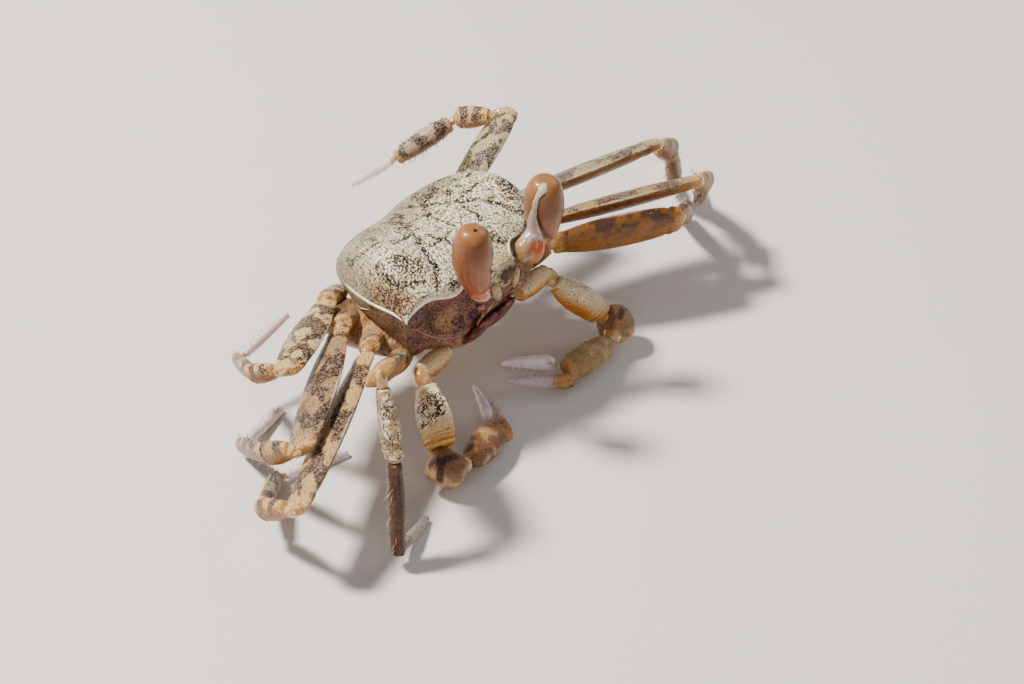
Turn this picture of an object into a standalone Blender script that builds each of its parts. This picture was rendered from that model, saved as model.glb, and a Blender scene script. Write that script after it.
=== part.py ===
"""Juvenile ghost crab, life size, standing on six of its feet with the last legs raised.

Metres, +Z up, the crab faces -Y and the floor is z = 0, with the origin under the middle of the whole.
Driving sizes below are in millimetres and whole degrees.
"""
import math

import bmesh
import bpy
from mathutils import Matrix, Vector

for leftover in list(bpy.data.objects):
    bpy.data.objects.remove(leftover, do_unlink=True)

MM = 0.001
GAP = 0.12                # clearance between neighbouring pieces
STAND = 9.7               # height of the shell's side edge above the floor
FOOT_SINK = 0.17          # height of a standing toe's centre line, its underside is flat

# Shell: half outline from the middle of the front to the eye-socket corner (x, y, z)
FRONT_EDGE = ((0.0, -5.45, 0.70), (1.32, -5.30, 0.85), (3.12, -4.50, 1.05),
              (5.11, -4.07, 0.95), (7.49, -3.56, 0.14))
SIDE_HALF_WIDTHS = ((-3.56, 7.49), (-2.6, 7.22), (0.0, 7.0), (2.86, 5.95), (4.6, 4.75), (6.1, 3.0))
SHELL_REAR_Y, SHELL_REAR_Z = 6.1, -1.45
DOME_RISE = 1.8
SHOULDER, SHOULDER_AT, SHOULDER_SPREAD = 0.7, (5.7, -0.2), (1.4, 4.0)   # swelling over the gills
WALL_STEPS = ((0.12, 1.0, 1.0), (0.5, 0.97, 0.95), (1.0, 0.86, 0.74))   # share of drop, scale ahead, behind
FOOT_PLANE = (-2.75, 0.12)                             # height at y = 0 and slope of the wall's foot
BROW_SWELL = ((0.12, 0.1), (0.5, 0.75), (1.0, 0.45))   # share of drop, how far the wall below an eye stands out
SWELL_SPREAD = ((1.9, 0.0), (3.1, 1.0), (5.4, 1.0), (7.3, 0.0))   # distance from the middle, share of the swell
FRONT_LOBE = (1.38, 0.42, 1.2)                           # half sizes of the bent-down front
SOCKET = (3.0, 1.35, 1.5)                                # half sizes of an eye socket
SOCKET_AT, SOCKET_TURN = (4.6, -5.15, -0.7), 15

# Eyes
STALK_FOOT, EYE_CENTRE = (2.5, -5.66, 0.2), (3.77, -5.72, 3.85)
CORNEA_RADIUS, CORNEA_HALF = 1.28, 2.45
STALK_STEPS = ((0.0, 0.5), (0.1, 0.78), (0.2, 0.7), (0.3, 0.42), (0.6, 0.34), (1.0, 0.26))
STALK_INSET = (0.7, 0.78)                                # bar from the cornea's axis, inward and back

# Underside
THORAX = (4.25, -4.3, 5.0)                              # half width, front y, rear y
THORAX_STEPS = ((-3.0, 1.0), (-4.3, 1.0), (-5.0, 0.84), (-5.3, 0.62))
FLAP_STEPS = ((-0.6, 0.5), (1.4, 1.15), (3.4, 1.5), (5.1, 1.55), (5.9, 1.3))
FLAP_THICK = 0.55
MOUTH_PLATE = (1.14, 0.3, 1.36)                         # half sizes of a mouth cover
MOUTH_AT, MOUTH_TILT = (1.2, -4.36, -3.5), 30           # its lower end leans back
MOUTH_OPENING = (2.46, 1.5, 1.5)                        # half sizes of the hollow that holds both covers

# Walking legs. Roots on the underside for the left side, mirrored for the right.
ROOTS = {2: (5.6, -1.7, -4.0), 3: (5.6, 0.5, -3.6), 4: (5.3, 2.6, -3.2), 5: (4.3, 4.5, -2.7)}
BASES = {2: (66, 20, 3.0), 3: (60, 24, 3.2), 4: (66, 26, 3.2), 5: (72, 20, 2.4)}  # heading, climb, length
OUTER = {2: (5.4, 6.0, 4.6), 3: (4.8, 5.8, 5.2), 4: (4.8, 5.6, 5.0), 5: (3.6, 5.0, 4.6)}
# merus length, then heading and climb of merus, carpus, propodus and toe (0 ahead, 90 the crab's
# left; a climb of None lets the toe come down to the floor)
POSES = {
    "left_leg_2": (9.2, 55, 1, 114, -29, 124, -36, 135, None),
    "left_leg_3": (12.4, 58, 3, 109, -33, 127, -46, 129, None),
    "left_leg_4": (12.4, 65, 6, 103, -35, 111, -60, 134, None),
    "left_leg_5": (8.0, 96, 24, -166, -18, -123, -27, -167, -42),
    "right_leg_2": (8.8, -58, 36, -31, -66, -46, -73, 105, None),
    "right_leg_3": (13.8, -70, -8, 163, -36, 121, -21, 71, None),
    "right_leg_4": (10.9, -64, -6, 165, -38, 150, -32, 100, None),
    "right_leg_5": (7.6, -69, 2, 177, -33, 143, -27, 84, 16)}
ROLL = {2: 45, 3: 50, 4: 52, 5: 68, "left_leg_2": 8}    # lean of a leg's broad side, upper edge ahead
SIZES = {                                               # broad and thin widths of each segment
    "base": (1.7, 1.25), "merus": (2.9, 1.3), "carpus": (1.75, 1.25),
    "propodus": (1.5, 1.05), "dactyl": (0.8, 0.68)}
SLIM = {2: 1.0, 3: 0.95, 4: 1.0, 5: 0.92}
PROFILES = {                                            # share of length, share of full width
    "base": ((0.0, 0.55), (0.1, 0.8), (0.5, 1.0), (0.85, 0.9), (1.0, 0.6)),
    "merus": ((0.0, 0.4), (0.06, 0.6), (0.3, 0.93), (0.55, 1.0), (0.8, 0.9), (0.94, 0.74), (1.0, 0.45)),
    "carpus": ((0.0, 0.5), (0.1, 0.72), (0.45, 0.9), (0.75, 1.0), (0.93, 0.85), (1.0, 0.55)),
    "propodus": ((0.0, 0.55), (0.08, 0.85), (0.4, 1.0), (0.75, 0.92), (0.94, 0.75), (1.0, 0.5)),
    "dactyl": ((0.0, 0.55), (0.08, 0.9), (0.35, 1.0), (0.7, 0.88), (0.93, 0.76), (1.0, 0.55))}

# Claws
CLAW_ROOT = (3.9, -3.7, -4.1)
CLAW_ARM = ((88, 4, 2.6, 1.9, 1.5), (34, -38, 6.4, 2.8, 1.9))   # heading, climb, length, widths
CLAW_CARPUS_AT, CLAW_CARPUS = (9.3, -7.95, -7.85), (1.25, 1.2, 1.15)
PALM_START, PALM_END = (7.75, -8.65, -8.05), (3.7, -7.9, -8.35)
PALM_SIZE = (2.0, 1.5)
FINGER_HEADING, FINGER_LENGTH = -143, 3.5
FINGER_WIDTH = (1.1, 0.8)
THUMB_OFFSET = (-1.15, -1.0, -0.75)                     # fixed finger from the moving one
FINGER_START = (3.6, -7.1, -8.05)


def heading(az, el):
    a, e = math.radians(az), math.radians(el)
    return Vector((math.sin(a) * math.cos(e), -math.cos(a) * math.cos(e), math.sin(e)))


def frame_for(axis, roll, side):
    """Columns: broad side, thin side, axis. The broad side's upper edge leans forward by roll."""
    flat = Vector((-axis.y, axis.x, 0)).normalized() * side
    up = axis.cross(flat).normalized() * side
    if up.z < 0:
        up.negate()
    broad = up * math.cos(math.radians(roll)) - flat * math.sin(math.radians(roll))
    return Matrix((broad, axis.cross(broad), axis)).transposed()


def material(name, colour, roughness):
    made = bpy.data.materials.get(name) or bpy.data.materials.new(name)
    made.use_nodes = True
    shader = made.node_tree.nodes["Principled BSDF"]
    shader.inputs["Base Color"].default_value = (*colour, 1)
    shader.inputs["Roughness"].default_value = roughness
    return made


def collection(name):
    made = bpy.data.collections.new(name)
    bpy.context.scene.collection.children.link(made)
    return made


CRAB, CUTTERS = collection("ghost_crab"), collection("cutters")


def finish(bm, name, colour, home=CRAB, roughness=0.35):
    """Turns millimetres about the shell's middle into a named object standing over the floor."""
    bmesh.ops.remove_doubles(bm, verts=bm.verts, dist=0.0001)
    bmesh.ops.recalc_face_normals(bm, faces=bm.faces)
    bmesh.ops.translate(bm, vec=(0, 0, STAND), verts=bm.verts)
    bmesh.ops.scale(bm, vec=(MM, MM, MM), verts=bm.verts)
    mesh = bpy.data.meshes.new(name)
    bm.to_mesh(mesh)
    bm.free()
    mesh.shade_smooth()
    made = bpy.data.objects.new(name, mesh)
    made.data.materials.append(material(name, colour, roughness))
    home.objects.link(made)
    return made


def combine(target, other, operation):
    step = target.modifiers.new(operation, "BOOLEAN")
    step.operation, step.object, step.solver = operation, other, "EXACT"
    for layer in bpy.context.view_layer.layer_collection.children:
        layer.exclude = False
    bpy.context.view_layer.update()
    solid = bpy.data.meshes.new_from_object(target.evaluated_get(bpy.context.evaluated_depsgraph_get()))
    target.modifiers.clear()
    target.data = solid
    bpy.data.objects.remove(other, do_unlink=True)


def between(pairs, at):
    """Straight-line reading of a small table of (position, value)."""
    for (a, low), (b, high) in zip(pairs, pairs[1:]):
        if at <= b:
            return low + (high - low) * max(0.0, at - a) / (b - a)
    return pairs[-1][1]


def barrel(sides, stations):
    """Unit cylinder with a loop of edges at each station between 0 and 1."""
    bm = bmesh.new()
    bmesh.ops.create_cone(bm, cap_ends=True, segments=sides, radius1=1, radius2=1, depth=1,
                          matrix=Matrix.Translation((0, 0, 0.5)))
    for share in stations:
        if 0 < share < 1:
            bmesh.ops.bisect_plane(bm, geom=bm.verts[:] + bm.edges[:] + bm.faces[:],
                                   plane_co=(0, 0, share), plane_no=(0, 0, 1))
    return bm


def rod(start, axis, length, width, profile, turn, bow=0.0, sides=8):
    """Closed oval rod: widths follow the profile, bow bends its middle towards the broad edge."""
    bm = barrel(sides, [share for share, full in profile])
    for vert in bm.verts:
        share = vert.co.z
        full = between(profile, share) / 2
        local = Vector((vert.co.x * full * width[0] + bow * math.sin(math.pi * share),
                        vert.co.y * full * width[1], share * length))
        vert.co = turn @ local + Vector(start)
    return bm


def ball(radii, at, turn=Matrix.Identity(3), across=12, rings=8):
    bm = bmesh.new()
    bmesh.ops.create_uvsphere(bm, u_segments=across, v_segments=rings, radius=1)
    for vert in bm.verts:
        vert.co = turn @ Vector(c * r for c, r in zip(vert.co, radii)) + Vector(at)
    return bm


def trim_sole(bm):
    """Cuts a toe flat where it meets the floor."""
    cut = bmesh.ops.bisect_plane(bm, geom=bm.verts[:] + bm.edges[:] + bm.faces[:],
                                 plane_co=(0, 0, -STAND), plane_no=(0, 0, 1), clear_inner=True)
    edges = [e for e in cut["geom_cut"] if isinstance(e, bmesh.types.BMEdge)]
    if edges:
        bmesh.ops.contextual_create(bm, geom=edges)


# ---- shell -------------------------------------------------------------------------------
def shell_point(u, v):
    """Top of the shell: u runs across from -1 to 1, v from the front edge to the rear."""
    side_y = -3.56 + v * (SHELL_REAR_Y + 3.56)
    half = between(SIDE_HALF_WIDTHS, side_y)
    out = abs(u) * FRONT_EDGE[-1][0]
    front_y = between([(p[0], p[1]) for p in FRONT_EDGE], out)
    front_z = between([(p[0], p[2]) for p in FRONT_EDGE], out)
    y = front_y + v * (SHELL_REAR_Y - 0.5 * u * u - front_y)
    edge = (1 - v ** 3) * front_z + v ** 3 * SHELL_REAR_Z
    dome = DOME_RISE * (1 - abs(u) ** 8) * max(0.0, 1 - abs(2 * v - 0.88) ** (2.6 if v < 0.44 else 4.2))
    away = (abs(u * half) - SHOULDER_AT[0]) / SHOULDER_SPREAD[0], (y - SHOULDER_AT[1]) / SHOULDER_SPREAD[1]
    dome += SHOULDER * (1 - abs(u) ** 8) * min(1.0, 6 * v) * math.exp(-away[0] ** 2 - away[1] ** 2)
    return Vector((u * half, y, edge + dome))


def foot_height(y):
    return FOOT_PLANE[0] + FOOT_PLANE[1] * y


def carapace():
    bm = bmesh.new()
    across, along = 18, 12
    bmesh.ops.create_grid(bm, x_segments=across, y_segments=along, size=1)
    for vert in bm.verts:
        vert.co = shell_point(vert.co.x, (vert.co.y + 1) / 2)
    rim = [e for e in bm.edges if e.is_boundary]
    edge_at = {v: v.co.copy() for v in bm.verts if v.is_boundary}
    for share, ahead, behind in WALL_STEPS:
        grown = bmesh.ops.extrude_edge_only(bm, edges=rim)["geom"]
        rim = [g for g in grown if isinstance(g, bmesh.types.BMEdge) and g.is_boundary]
        new_verts = {v for e in rim for v in e.verts}
        lowered = {}
        for old, home in edge_at.items():
            new = next(e.other_vert(old) for e in old.link_edges if e.other_vert(old) in new_verts)
            scale = between(((-2.0, ahead), (1.0, behind)), home.y)
            x, y = home.x * scale, home.y * scale
            if home.y < -3.4:
                y -= between(BROW_SWELL, share) * between(SWELL_SPREAD, abs(home.x))
            new.co = (x, y, home.z + share * (foot_height(y) - home.z))
            lowered[new] = home
        edge_at = lowered
    bmesh.ops.contextual_create(bm, geom=rim)
    return finish(bm, "carapace", (0.62, 0.58, 0.45))


shell = carapace()
combine(shell, finish(ball(FRONT_LOBE, (0, -5.3, -0.05)), "front_lobe", (0.7, 0.66, 0.5), CUTTERS), "UNION")
for side in (1, -1):
    turn = Matrix.Rotation(math.radians(SOCKET_TURN * side), 3, "Z")
    at = (SOCKET_AT[0] * side, SOCKET_AT[1], SOCKET_AT[2])
    combine(shell, finish(ball(SOCKET, at, turn), "socket", (0.3, 0.2, 0.2), CUTTERS), "DIFFERENCE")


# ---- eyes --------------------------------------------------------------------------------
def eye(side, label):
    foot = Vector((STALK_FOOT[0] * side, *STALK_FOOT[1:]))
    centre = Vector((EYE_CENTRE[0] * side, *EYE_CENTRE[1:]))
    inset = Vector((-STALK_INSET[0] * side, STALK_INSET[1], 0))
    neck = centre + Vector((inset.x, inset.y * 0.2, -CORNEA_HALF * 0.75))
    crest = centre + inset * 0.45 + Vector((0, 0, CORNEA_HALF * 0.92))

    def bar(extra):
        bm = barrel(8, [share for share, radius in STALK_STEPS])
        for vert in bm.verts:
            share = vert.co.z
            radius = between(STALK_STEPS, share) + extra
            low, high = min(1.0, share / 0.3), max(0.0, share - 0.3) / 0.7
            line = foot.lerp(neck, low) if share <= 0.3 else neck.lerp(crest, high)
            line += Vector((-0.2 * side, 0.4, 0)) * math.sin(math.pi * high)
            vert.co = line + Vector((vert.co.x * radius, vert.co.y * radius, extra * (2 * (share > 0.5) - 1)))
        return bm

    finish(bar(0.0), label + "_eyestalk", (0.85, 0.75, 0.6))
    cornea = finish(ball((CORNEA_RADIUS, CORNEA_RADIUS, CORNEA_HALF), centre, across=14, rings=10),
                    label + "_cornea", (0.55, 0.3, 0.15), roughness=0.05)
    combine(cornea, finish(bar(GAP), "bar", (0, 0, 0), CUTTERS), "DIFFERENCE")


for side, label in ((1, "left"), (-1, "right")):
    eye(side, label)


# ---- underside ---------------------------------------------------------------------------
def oval_block(steps, half, front, rear, name, colour, sides=24, power=3.0):
    """Upright block whose outline is a rounded oblong, narrowed step by step downwards."""
    top, bottom = steps[0][0], steps[-1][0]
    bm = barrel(sides, [(top - z) / (top - bottom) for z, scale in steps])
    for vert in bm.verts:
        depth = top - vert.co.z * (top - bottom)
        scale = between([(-z, s) for z, s in steps], -depth)
        spin = math.atan2(vert.co.y, vert.co.x)
        reach = (abs(math.cos(spin)) ** power + abs(math.sin(spin)) ** power) ** (-1 / power)
        y = (front + rear) / 2 + (rear - front) / 2 * scale * reach * math.sin(spin)
        if depth > top - 0.01:
            depth = foot_height(y) - GAP
        vert.co = (half * scale * reach * math.cos(spin), y, depth)
    return finish(bm, name, colour)


oval_block(THORAX_STEPS, *THORAX, "thorax", (0.6, 0.45, 0.3))


def abdomen():
    first, last = FLAP_STEPS[0][0], FLAP_STEPS[-1][0]
    bm = barrel(8, [(y - first) / (last - first) for y, half in FLAP_STEPS])
    for vert in bm.verts:
        y = first + vert.co.z * (last - first)
        rise = 0.9 * max(0.0, (y - 3.6) / 2.5) ** 2
        vert.co = (vert.co.x * between(FLAP_STEPS, y), y,
                   THORAX_STEPS[-1][0] - FLAP_THICK / 2 - GAP + vert.co.y * FLAP_THICK / 2 + rise)
    return finish(bm, "abdomen", (0.75, 0.68, 0.52))


abdomen()
turn = Matrix.Rotation(math.radians(MOUTH_TILT), 3, "X")
for name in ("carapace", "thorax"):
    opening = bmesh.new()
    bmesh.ops.create_cube(opening, size=2)
    for vert in opening.verts:
        local = Vector(c * half for c, half in zip(vert.co, MOUTH_OPENING))
        local.y += MOUTH_PLATE[1] + GAP - MOUTH_OPENING[1]
        vert.co = turn @ local + Vector((0, *MOUTH_AT[1:]))
    combine(bpy.data.objects[name], finish(opening, "opening", (0.4, 0.25, 0.28), CUTTERS), "DIFFERENCE")
for side, label in ((1, "left"), (-1, "right")):
    plate = ball(MOUTH_PLATE, (0, 0, 0), across=12, rings=10)
    for vert in plate.verts:
        wide, tall = abs(vert.co.x / MOUTH_PLATE[0]), abs(vert.co.z / MOUTH_PLATE[2])
        if wide + tall > 1e-6:
            square = math.hypot(wide, tall) / (wide ** 4 + tall ** 4) ** 0.25
            vert.co.x, vert.co.z = vert.co.x * square, vert.co.z * square
        vert.co = turn @ vert.co + Vector((MOUTH_AT[0] * side, *MOUTH_AT[1:]))
    finish(plate, label + "_maxilliped", (0.4, 0.25, 0.28))


# ---- limbs -------------------------------------------------------------------------------
def in_plane_half(turn, width, across):
    return math.hypot(turn.col[0].dot(across) * width[0] / 2, turn.col[1].dot(across) * width[1] / 2)


def clearance(before, after, width_a, width_b, end_a, start_b):
    """How far past the joint the first piece reaches and where the next one may start."""
    axis_a, axis_b = before.col[2], after.col[2]
    bend = axis_a.angle(axis_b)
    plane = axis_a.cross(axis_b)
    if plane.length < 1e-6:
        return -GAP / 2, GAP / 2
    plane.normalize()
    half_a = in_plane_half(before, width_a, plane.cross(axis_a))
    half_b = in_plane_half(after, width_b, plane.cross(axis_b)) * start_b
    reach = 0.5 * half_a * math.sin(bend) * end_a - GAP / 2
    beyond = (reach + GAP + half_b * math.sin(bend)) / math.cos(bend) if bend < 1.45 else 99
    beside = (half_a * 0.72 + GAP + half_b * abs(math.cos(bend))) / math.sin(bend)
    return reach, min(beyond, beside)


COLOURS = {"base": (0.7, 0.55, 0.35), "merus": (0.72, 0.66, 0.48), "carpus": (0.75, 0.65, 0.45),
           "propodus": (0.66, 0.58, 0.44), "dactyl": (0.85, 0.82, 0.85)}


def leg(name):
    number, side = int(name[-1]), 1 if name.startswith("left") else -1
    roll = ROLL.get(name, ROLL[number])
    root = Vector((ROOTS[number][0] * side, *ROOTS[number][1:]))
    pose = (BASES[number][0] * side, BASES[number][1], *POSES[name][1:])
    spans = (BASES[number][2], POSES[name][0], *OUTER[number])
    parts = ("base", "merus", "carpus", "propodus", "dactyl")
    widths = [[w * SLIM[number] for w in SIZES[p]] for p in parts]
    joints, turns = [root], []
    for k, span in enumerate(spans):
        az, el = pose[2 * k], pose[2 * k + 1]
        if el is None:
            el = -math.degrees(math.asin((joints[-1].z + STAND - FOOT_SINK) / span))
        axis = heading(az, el)
        turns.append(frame_for(axis, roll if k < 2 else roll / 3, side))
        joints.append(joints[-1] + axis * span)
    reach, start = 0.0, 0.0
    for k, (part, span, width) in enumerate(zip(parts, spans, widths)):
        profile = PROFILES[part]
        if k < 4:
            shape = PROFILES[parts[k + 1]]
            reach, after = clearance(turns[k], turns[k + 1], width, widths[k + 1],
                                     profile[-2][1], (shape[0][1] + shape[1][1]) / 2)
        else:
            reach, after = 0.0, 0.0
        axis = turns[k].col[2]
        bm = rod(joints[k] + axis * start, axis, span + reach - start, width, profile, turns[k])
        if part == "dactyl" and pose[-1] is None:
            trim_sole(bm)
        finish(bm, f"{name}_{part}", COLOURS[part])
        start = after


for name in POSES:
    leg(name)


def claw(side, label):
    def mirrored(point):
        return Vector((point[0] * side, *point[1:]))

    at, turns, spans = mirrored(CLAW_ROOT), [], []
    starts = []
    for az, el, length, broad, thin in CLAW_ARM:
        axis = heading(az * side, el)
        turns.append(frame_for(axis, 30, side))
        starts.append(at)
        spans.append(length)
        at = at + axis * length
    wide = [(a[3], a[4]) for a in CLAW_ARM]
    reach, after = clearance(turns[0], turns[1], wide[0], wide[1], 0.8, 0.5)
    finish(rod(starts[0], turns[0].col[2], spans[0] + reach, wide[0], PROFILES["base"], turns[0]),
           label + "_claw_base", COLOURS["base"])
    axis = turns[1].col[2]
    centre = mirrored(CLAW_CARPUS_AT)
    stop = (centre - starts[1]).length - max(CLAW_CARPUS) - GAP
    finish(rod(starts[1] + axis * after, axis, stop - after, wide[1], PROFILES["merus"], turns[1]),
           label + "_claw_merus", COLOURS["merus"])
    finish(ball(CLAW_CARPUS, centre, across=10, rings=8), label + "_claw_carpus", COLOURS["carpus"])
    start, end = mirrored(PALM_START), mirrored(PALM_END)
    axis = (end - start).normalized()
    spread = mirrored(THUMB_OFFSET)
    broad = (spread - axis * spread.dot(axis)).normalized()
    turn = Matrix((broad, axis.cross(broad), axis)).transposed()
    palm_profile = ((0.0, 0.45), (0.12, 0.72), (0.4, 0.98), (0.7, 1.0), (0.9, 0.85), (1.0, 0.6))
    palm = finish(rod(start, axis, (end - start).length, PALM_SIZE, palm_profile, turn, sides=12),
                  label + "_claw_palm", (0.7, 0.6, 0.5))
    finger_axis = heading(FINGER_HEADING * side, 0)
    finger_turn = frame_for(finger_axis, 0, side)
    tapers = ((0.0, 0.8), (0.12, 1.0), (0.5, 0.85), (0.8, 0.65), (1.0, 0.5))
    tip_at = mirrored(FINGER_START)
    finish(rod(tip_at, finger_axis, FINGER_LENGTH, FINGER_WIDTH, tapers, finger_turn, bow=0.1),
           label + "_claw_dactyl", COLOURS["dactyl"])
    fixed = finish(rod(tip_at + spread - finger_axis * 0.5 - axis * 0.9, finger_axis, FINGER_LENGTH + 0.9,
                       FINGER_WIDTH, tapers, finger_turn, bow=-0.1), "fixed_finger", COLOURS["dactyl"], CUTTERS)
    combine(palm, fixed, "UNION")


for side, label in ((1, "left"), (-1, "right")):
    claw(side, label)

# ---- frame: the origin sits on the floor under the middle of the whole crab ----------------
corners = [v.co for thing in CRAB.objects for v in thing.data.vertices]
middle = [(min(c[k] for c in corners) + max(c[k] for c in corners)) / 2 for k in (0, 1)]
for thing in CRAB.objects:
    thing.data.transform(Matrix.Translation((-middle[0], -middle[1], 0)))
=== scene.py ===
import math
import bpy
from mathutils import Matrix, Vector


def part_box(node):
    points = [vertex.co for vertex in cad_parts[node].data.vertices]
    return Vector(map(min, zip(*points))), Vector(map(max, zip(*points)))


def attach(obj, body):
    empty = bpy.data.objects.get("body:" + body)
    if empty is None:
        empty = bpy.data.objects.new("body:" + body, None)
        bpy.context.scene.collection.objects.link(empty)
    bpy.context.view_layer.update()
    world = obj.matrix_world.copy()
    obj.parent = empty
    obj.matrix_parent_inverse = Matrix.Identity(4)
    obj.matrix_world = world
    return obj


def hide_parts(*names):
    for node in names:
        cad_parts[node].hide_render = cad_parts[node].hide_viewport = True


bl_info = {
    "name": "Juvenile ghost crab",
    "version": (1, 0, 0),
    "blender": (4, 5, 0),
    "location": "View3D > Sidebar > Ghost crab",
    "description": "Dresses the solids of a juvenile ghost crab with its shell, eyes, limbs and markings",
    "category": "Object",
}

import bpy
import numpy as np
from mathutils import Matrix, Vector
from mathutils import noise as turbulence

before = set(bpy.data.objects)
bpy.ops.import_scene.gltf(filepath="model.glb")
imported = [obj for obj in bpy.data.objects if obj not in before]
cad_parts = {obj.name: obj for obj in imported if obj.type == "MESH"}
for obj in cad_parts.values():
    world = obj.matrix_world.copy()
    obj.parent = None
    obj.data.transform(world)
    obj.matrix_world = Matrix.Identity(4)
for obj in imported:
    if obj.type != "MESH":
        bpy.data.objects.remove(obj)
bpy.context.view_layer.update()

MM = 0.001
LOW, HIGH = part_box("thorax")
HOME_AHEAD, HOME_HEIGHT = 0.35, 9.7
HOME = Vector(((LOW.x + HIGH.x) / 2, (LOW.y + HIGH.y) / 2 - HOME_AHEAD * MM, HOME_HEIGHT * MM))   # shell middle

# All that follows is in millimetres about the shell's middle: x to the crab's left, y to the rear, z up
# Shell: edges, dome, shoulder swelling and side walls
CORNER_Y, SHELL_REAR_Y, SHELL_REAR_Z, DOME_RISE = -3.56, 6.1, -1.45, 1.8
FRONT_EDGE = ((0.0, -5.45, 0.70), (1.32, -5.30, 0.85), (3.12, -4.50, 1.05), (5.11, -4.0, 1.08),
              (6.3, -3.62, 0.95), (7.05, -3.42, 0.58), (7.49, CORNER_Y, 0.14))
SIDE_HALF_WIDTHS = ((CORNER_Y, 7.49), (-2.6, 7.22), (0.0, 7.0), (2.86, 5.95), (4.6, 4.75), (6.1, 3.0))
SHOULDER, SHOULDER_AT, SHOULDER_SPREAD = 0.7, (5.7, -0.2), (1.4, 4.0)
WALL_STEPS = ((0.12, 1.0, 1.0), (0.3, 0.99, 0.98), (0.5, 0.97, 0.95), (0.75, 0.92, 0.86), (1.0, 0.86, 0.74))
FOOT_PLANE = (-2.75, 0.12)
BROW_SWELL = ((0.0, 0.0), (0.12, 0.1), (0.5, 0.75), (1.0, 0.45))
SWELL_SPREAD = ((1.9, 0.0), (3.1, 1.0), (5.4, 1.0), (7.3, 0.0))
# Front lobe, eye sockets and mouth opening: radii or half sizes, place, turn in degrees
FRONT_LOBE, LOBE_AT = (1.32, 0.42, 0.86), (0, -5.3, 0.14)
SOCKET, SOCKET_AT, SOCKET_TURN = (3.05, 1.4, 1.0), (4.62, -5.15, 0.0), 15
SOCKET_TOP = ((-1.0, -0.3), (-0.75, 0.45), (-0.5, 0.95), (-0.29, 0.72), (-0.04, 0.82), (0.31, 1.08),
              (0.6, 0.9), (0.84, 0.45), (1.0, 0.06))
SOCKET_FLOOR = ((-1.0, -1.6), (-0.85, -2.45), (-0.5, -2.75), (-0.12, -2.62), (0.32, -1.85), (0.64, -1.0),
                (0.9, -0.22), (1.0, -0.02))
MOUTH_OPENING, MOUTH_AT, MOUTH_TILT = (2.1, 1.5, 1.5), (0, -4.36, -3.5), 30
# Lines along the left half: rims, grooves and the notches beside the front lobe, whose gaps get painted shade
BROW = ((3.2, -4.2, 1.62), (3.08, -4.45, 1.4), (3.13, -4.6, 1.2), (3.3, -4.6, 0.98), (3.76, -4.54, 0.78),
        (4.51, -4.33, 0.88), (5.0, -4.17, 1.03), (5.53, -4.02, 1.14), (6.0, -3.84, 1.08), (6.38, -3.74, 0.93),
        (6.75, -3.64, 0.7), (7.09, -3.58, 0.44), (7.4, -3.52, 0.18), (7.5, -3.56, 0.06))
INNER_BROW = ((2.7, -4.63, 1.54), (2.0, -4.51, 1.72), (1.35, -4.78, 1.62), (0.98, -5.15, 1.4),
              (1.15, -5.3, 1.0), (1.5, -5.35, 0.75))
WALL_SEAM = ((7.02, -0.6, -0.3), (6.9, 0.3, -0.9), (6.6, 1.2, -1.6), (6.2, 2.2, -1.9), (5.7, 3.4, -1.8))
GROOVE = ((2.3, -0.3), (3.0, -1.1), (3.45, -1.85), (3.72, -2.5), (3.95, -3.15), (4.35, -3.6), (4.8, -3.8))
HEART_GROOVE = ((0.9, 2.2), (1.5, 1.2), (2.3, -0.3))
NOTCH_SHADES = ((((2.9, -4.78, 1.2), (2.3, -5.0, 0.9), (2.0, -5.2, 0.4)), 0.45),
           (((2.8, -4.7, 1.38), (2.1, -4.72, 1.5), (1.5, -4.93, 1.45), (1.2, -5.17, 1.2), (1.36, -5.3, 0.9)),
            0.26),
           (((3.0, -5.1, 0.1), (1.9, -5.4, -0.5)), 0.55))
SOCKET_SPOTS = ((3.29, -1.73, 0.4), (2.1, -1.6, 0.55), (5.3, -0.5, 0.5))
# Dark marks of the shell's top: places, half width, strength, and whether the other half bears them too
SHELL_MARKS = (
    (((0.15, 0.87), (0.13, -0.18), (0.13, -1.28)), 0.2, 1.0, False),
    (((1.97, -0.92), (1.82, -1.6), (1.6, -2.38)), 0.26, 1.0, True),
    (((0.75, -1.36), (1.82, -1.43), (2.5, -1.55)), 0.2, 0.9, False),
    (((1.77, -2.41), (1.95, -3.06)), 0.4, 0.5, True),
    (((-0.86, -1.78), (-1.69, -1.94), (-2.81, -1.77)), 0.24, 1.0, False),
    (((4.34, -0.21), (3.07, -0.09), (1.6, 0.09)), 0.24, 0.95, True),
    (((-2.59, 0.75), (-0.95, 1.07), (0.33, 1.01)), 0.24, 0.8, False),
    (((0.93, -3.58), (1.03, -4.13), (1.55, -4.61)), 0.42, 1.0, True),
    (((4.02, -4.32), (3.59, -4.46)), 0.3, 1.0, True),
    (((5.62, 1.16), (5.18, 0.95), (4.58, 0.79)), 0.28, 0.9, True),
    (((5.66, 2.17), (5.64, 1.87), (5.62, 1.16)), 0.25, 0.8, True),
    (((6.1, -0.24), (6.42, -1.05), (6.4, -2.08), (6.0, -2.9), (5.3, -3.3)), 0.3, 0.9, True),
    (((5.5, -1.5), (5.1, -2.35)), 0.95, 0.95, True),
    (((4.1, -0.29), (4.0, -1.23)), 0.4, 0.7, False),
    (((2.6, 2.4), (3.5, 2.9), (4.4, 2.3)), 0.3, 0.8, True),
    (((0.6, 2.9), (1.4, 3.6), (1.5, 4.6)), 0.28, 0.75, True),
    (((3.2, 4.0), (3.9, 3.8)), 0.3, 0.8, True))

SIDES = ((1, "left"), (-1, "right"))
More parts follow.
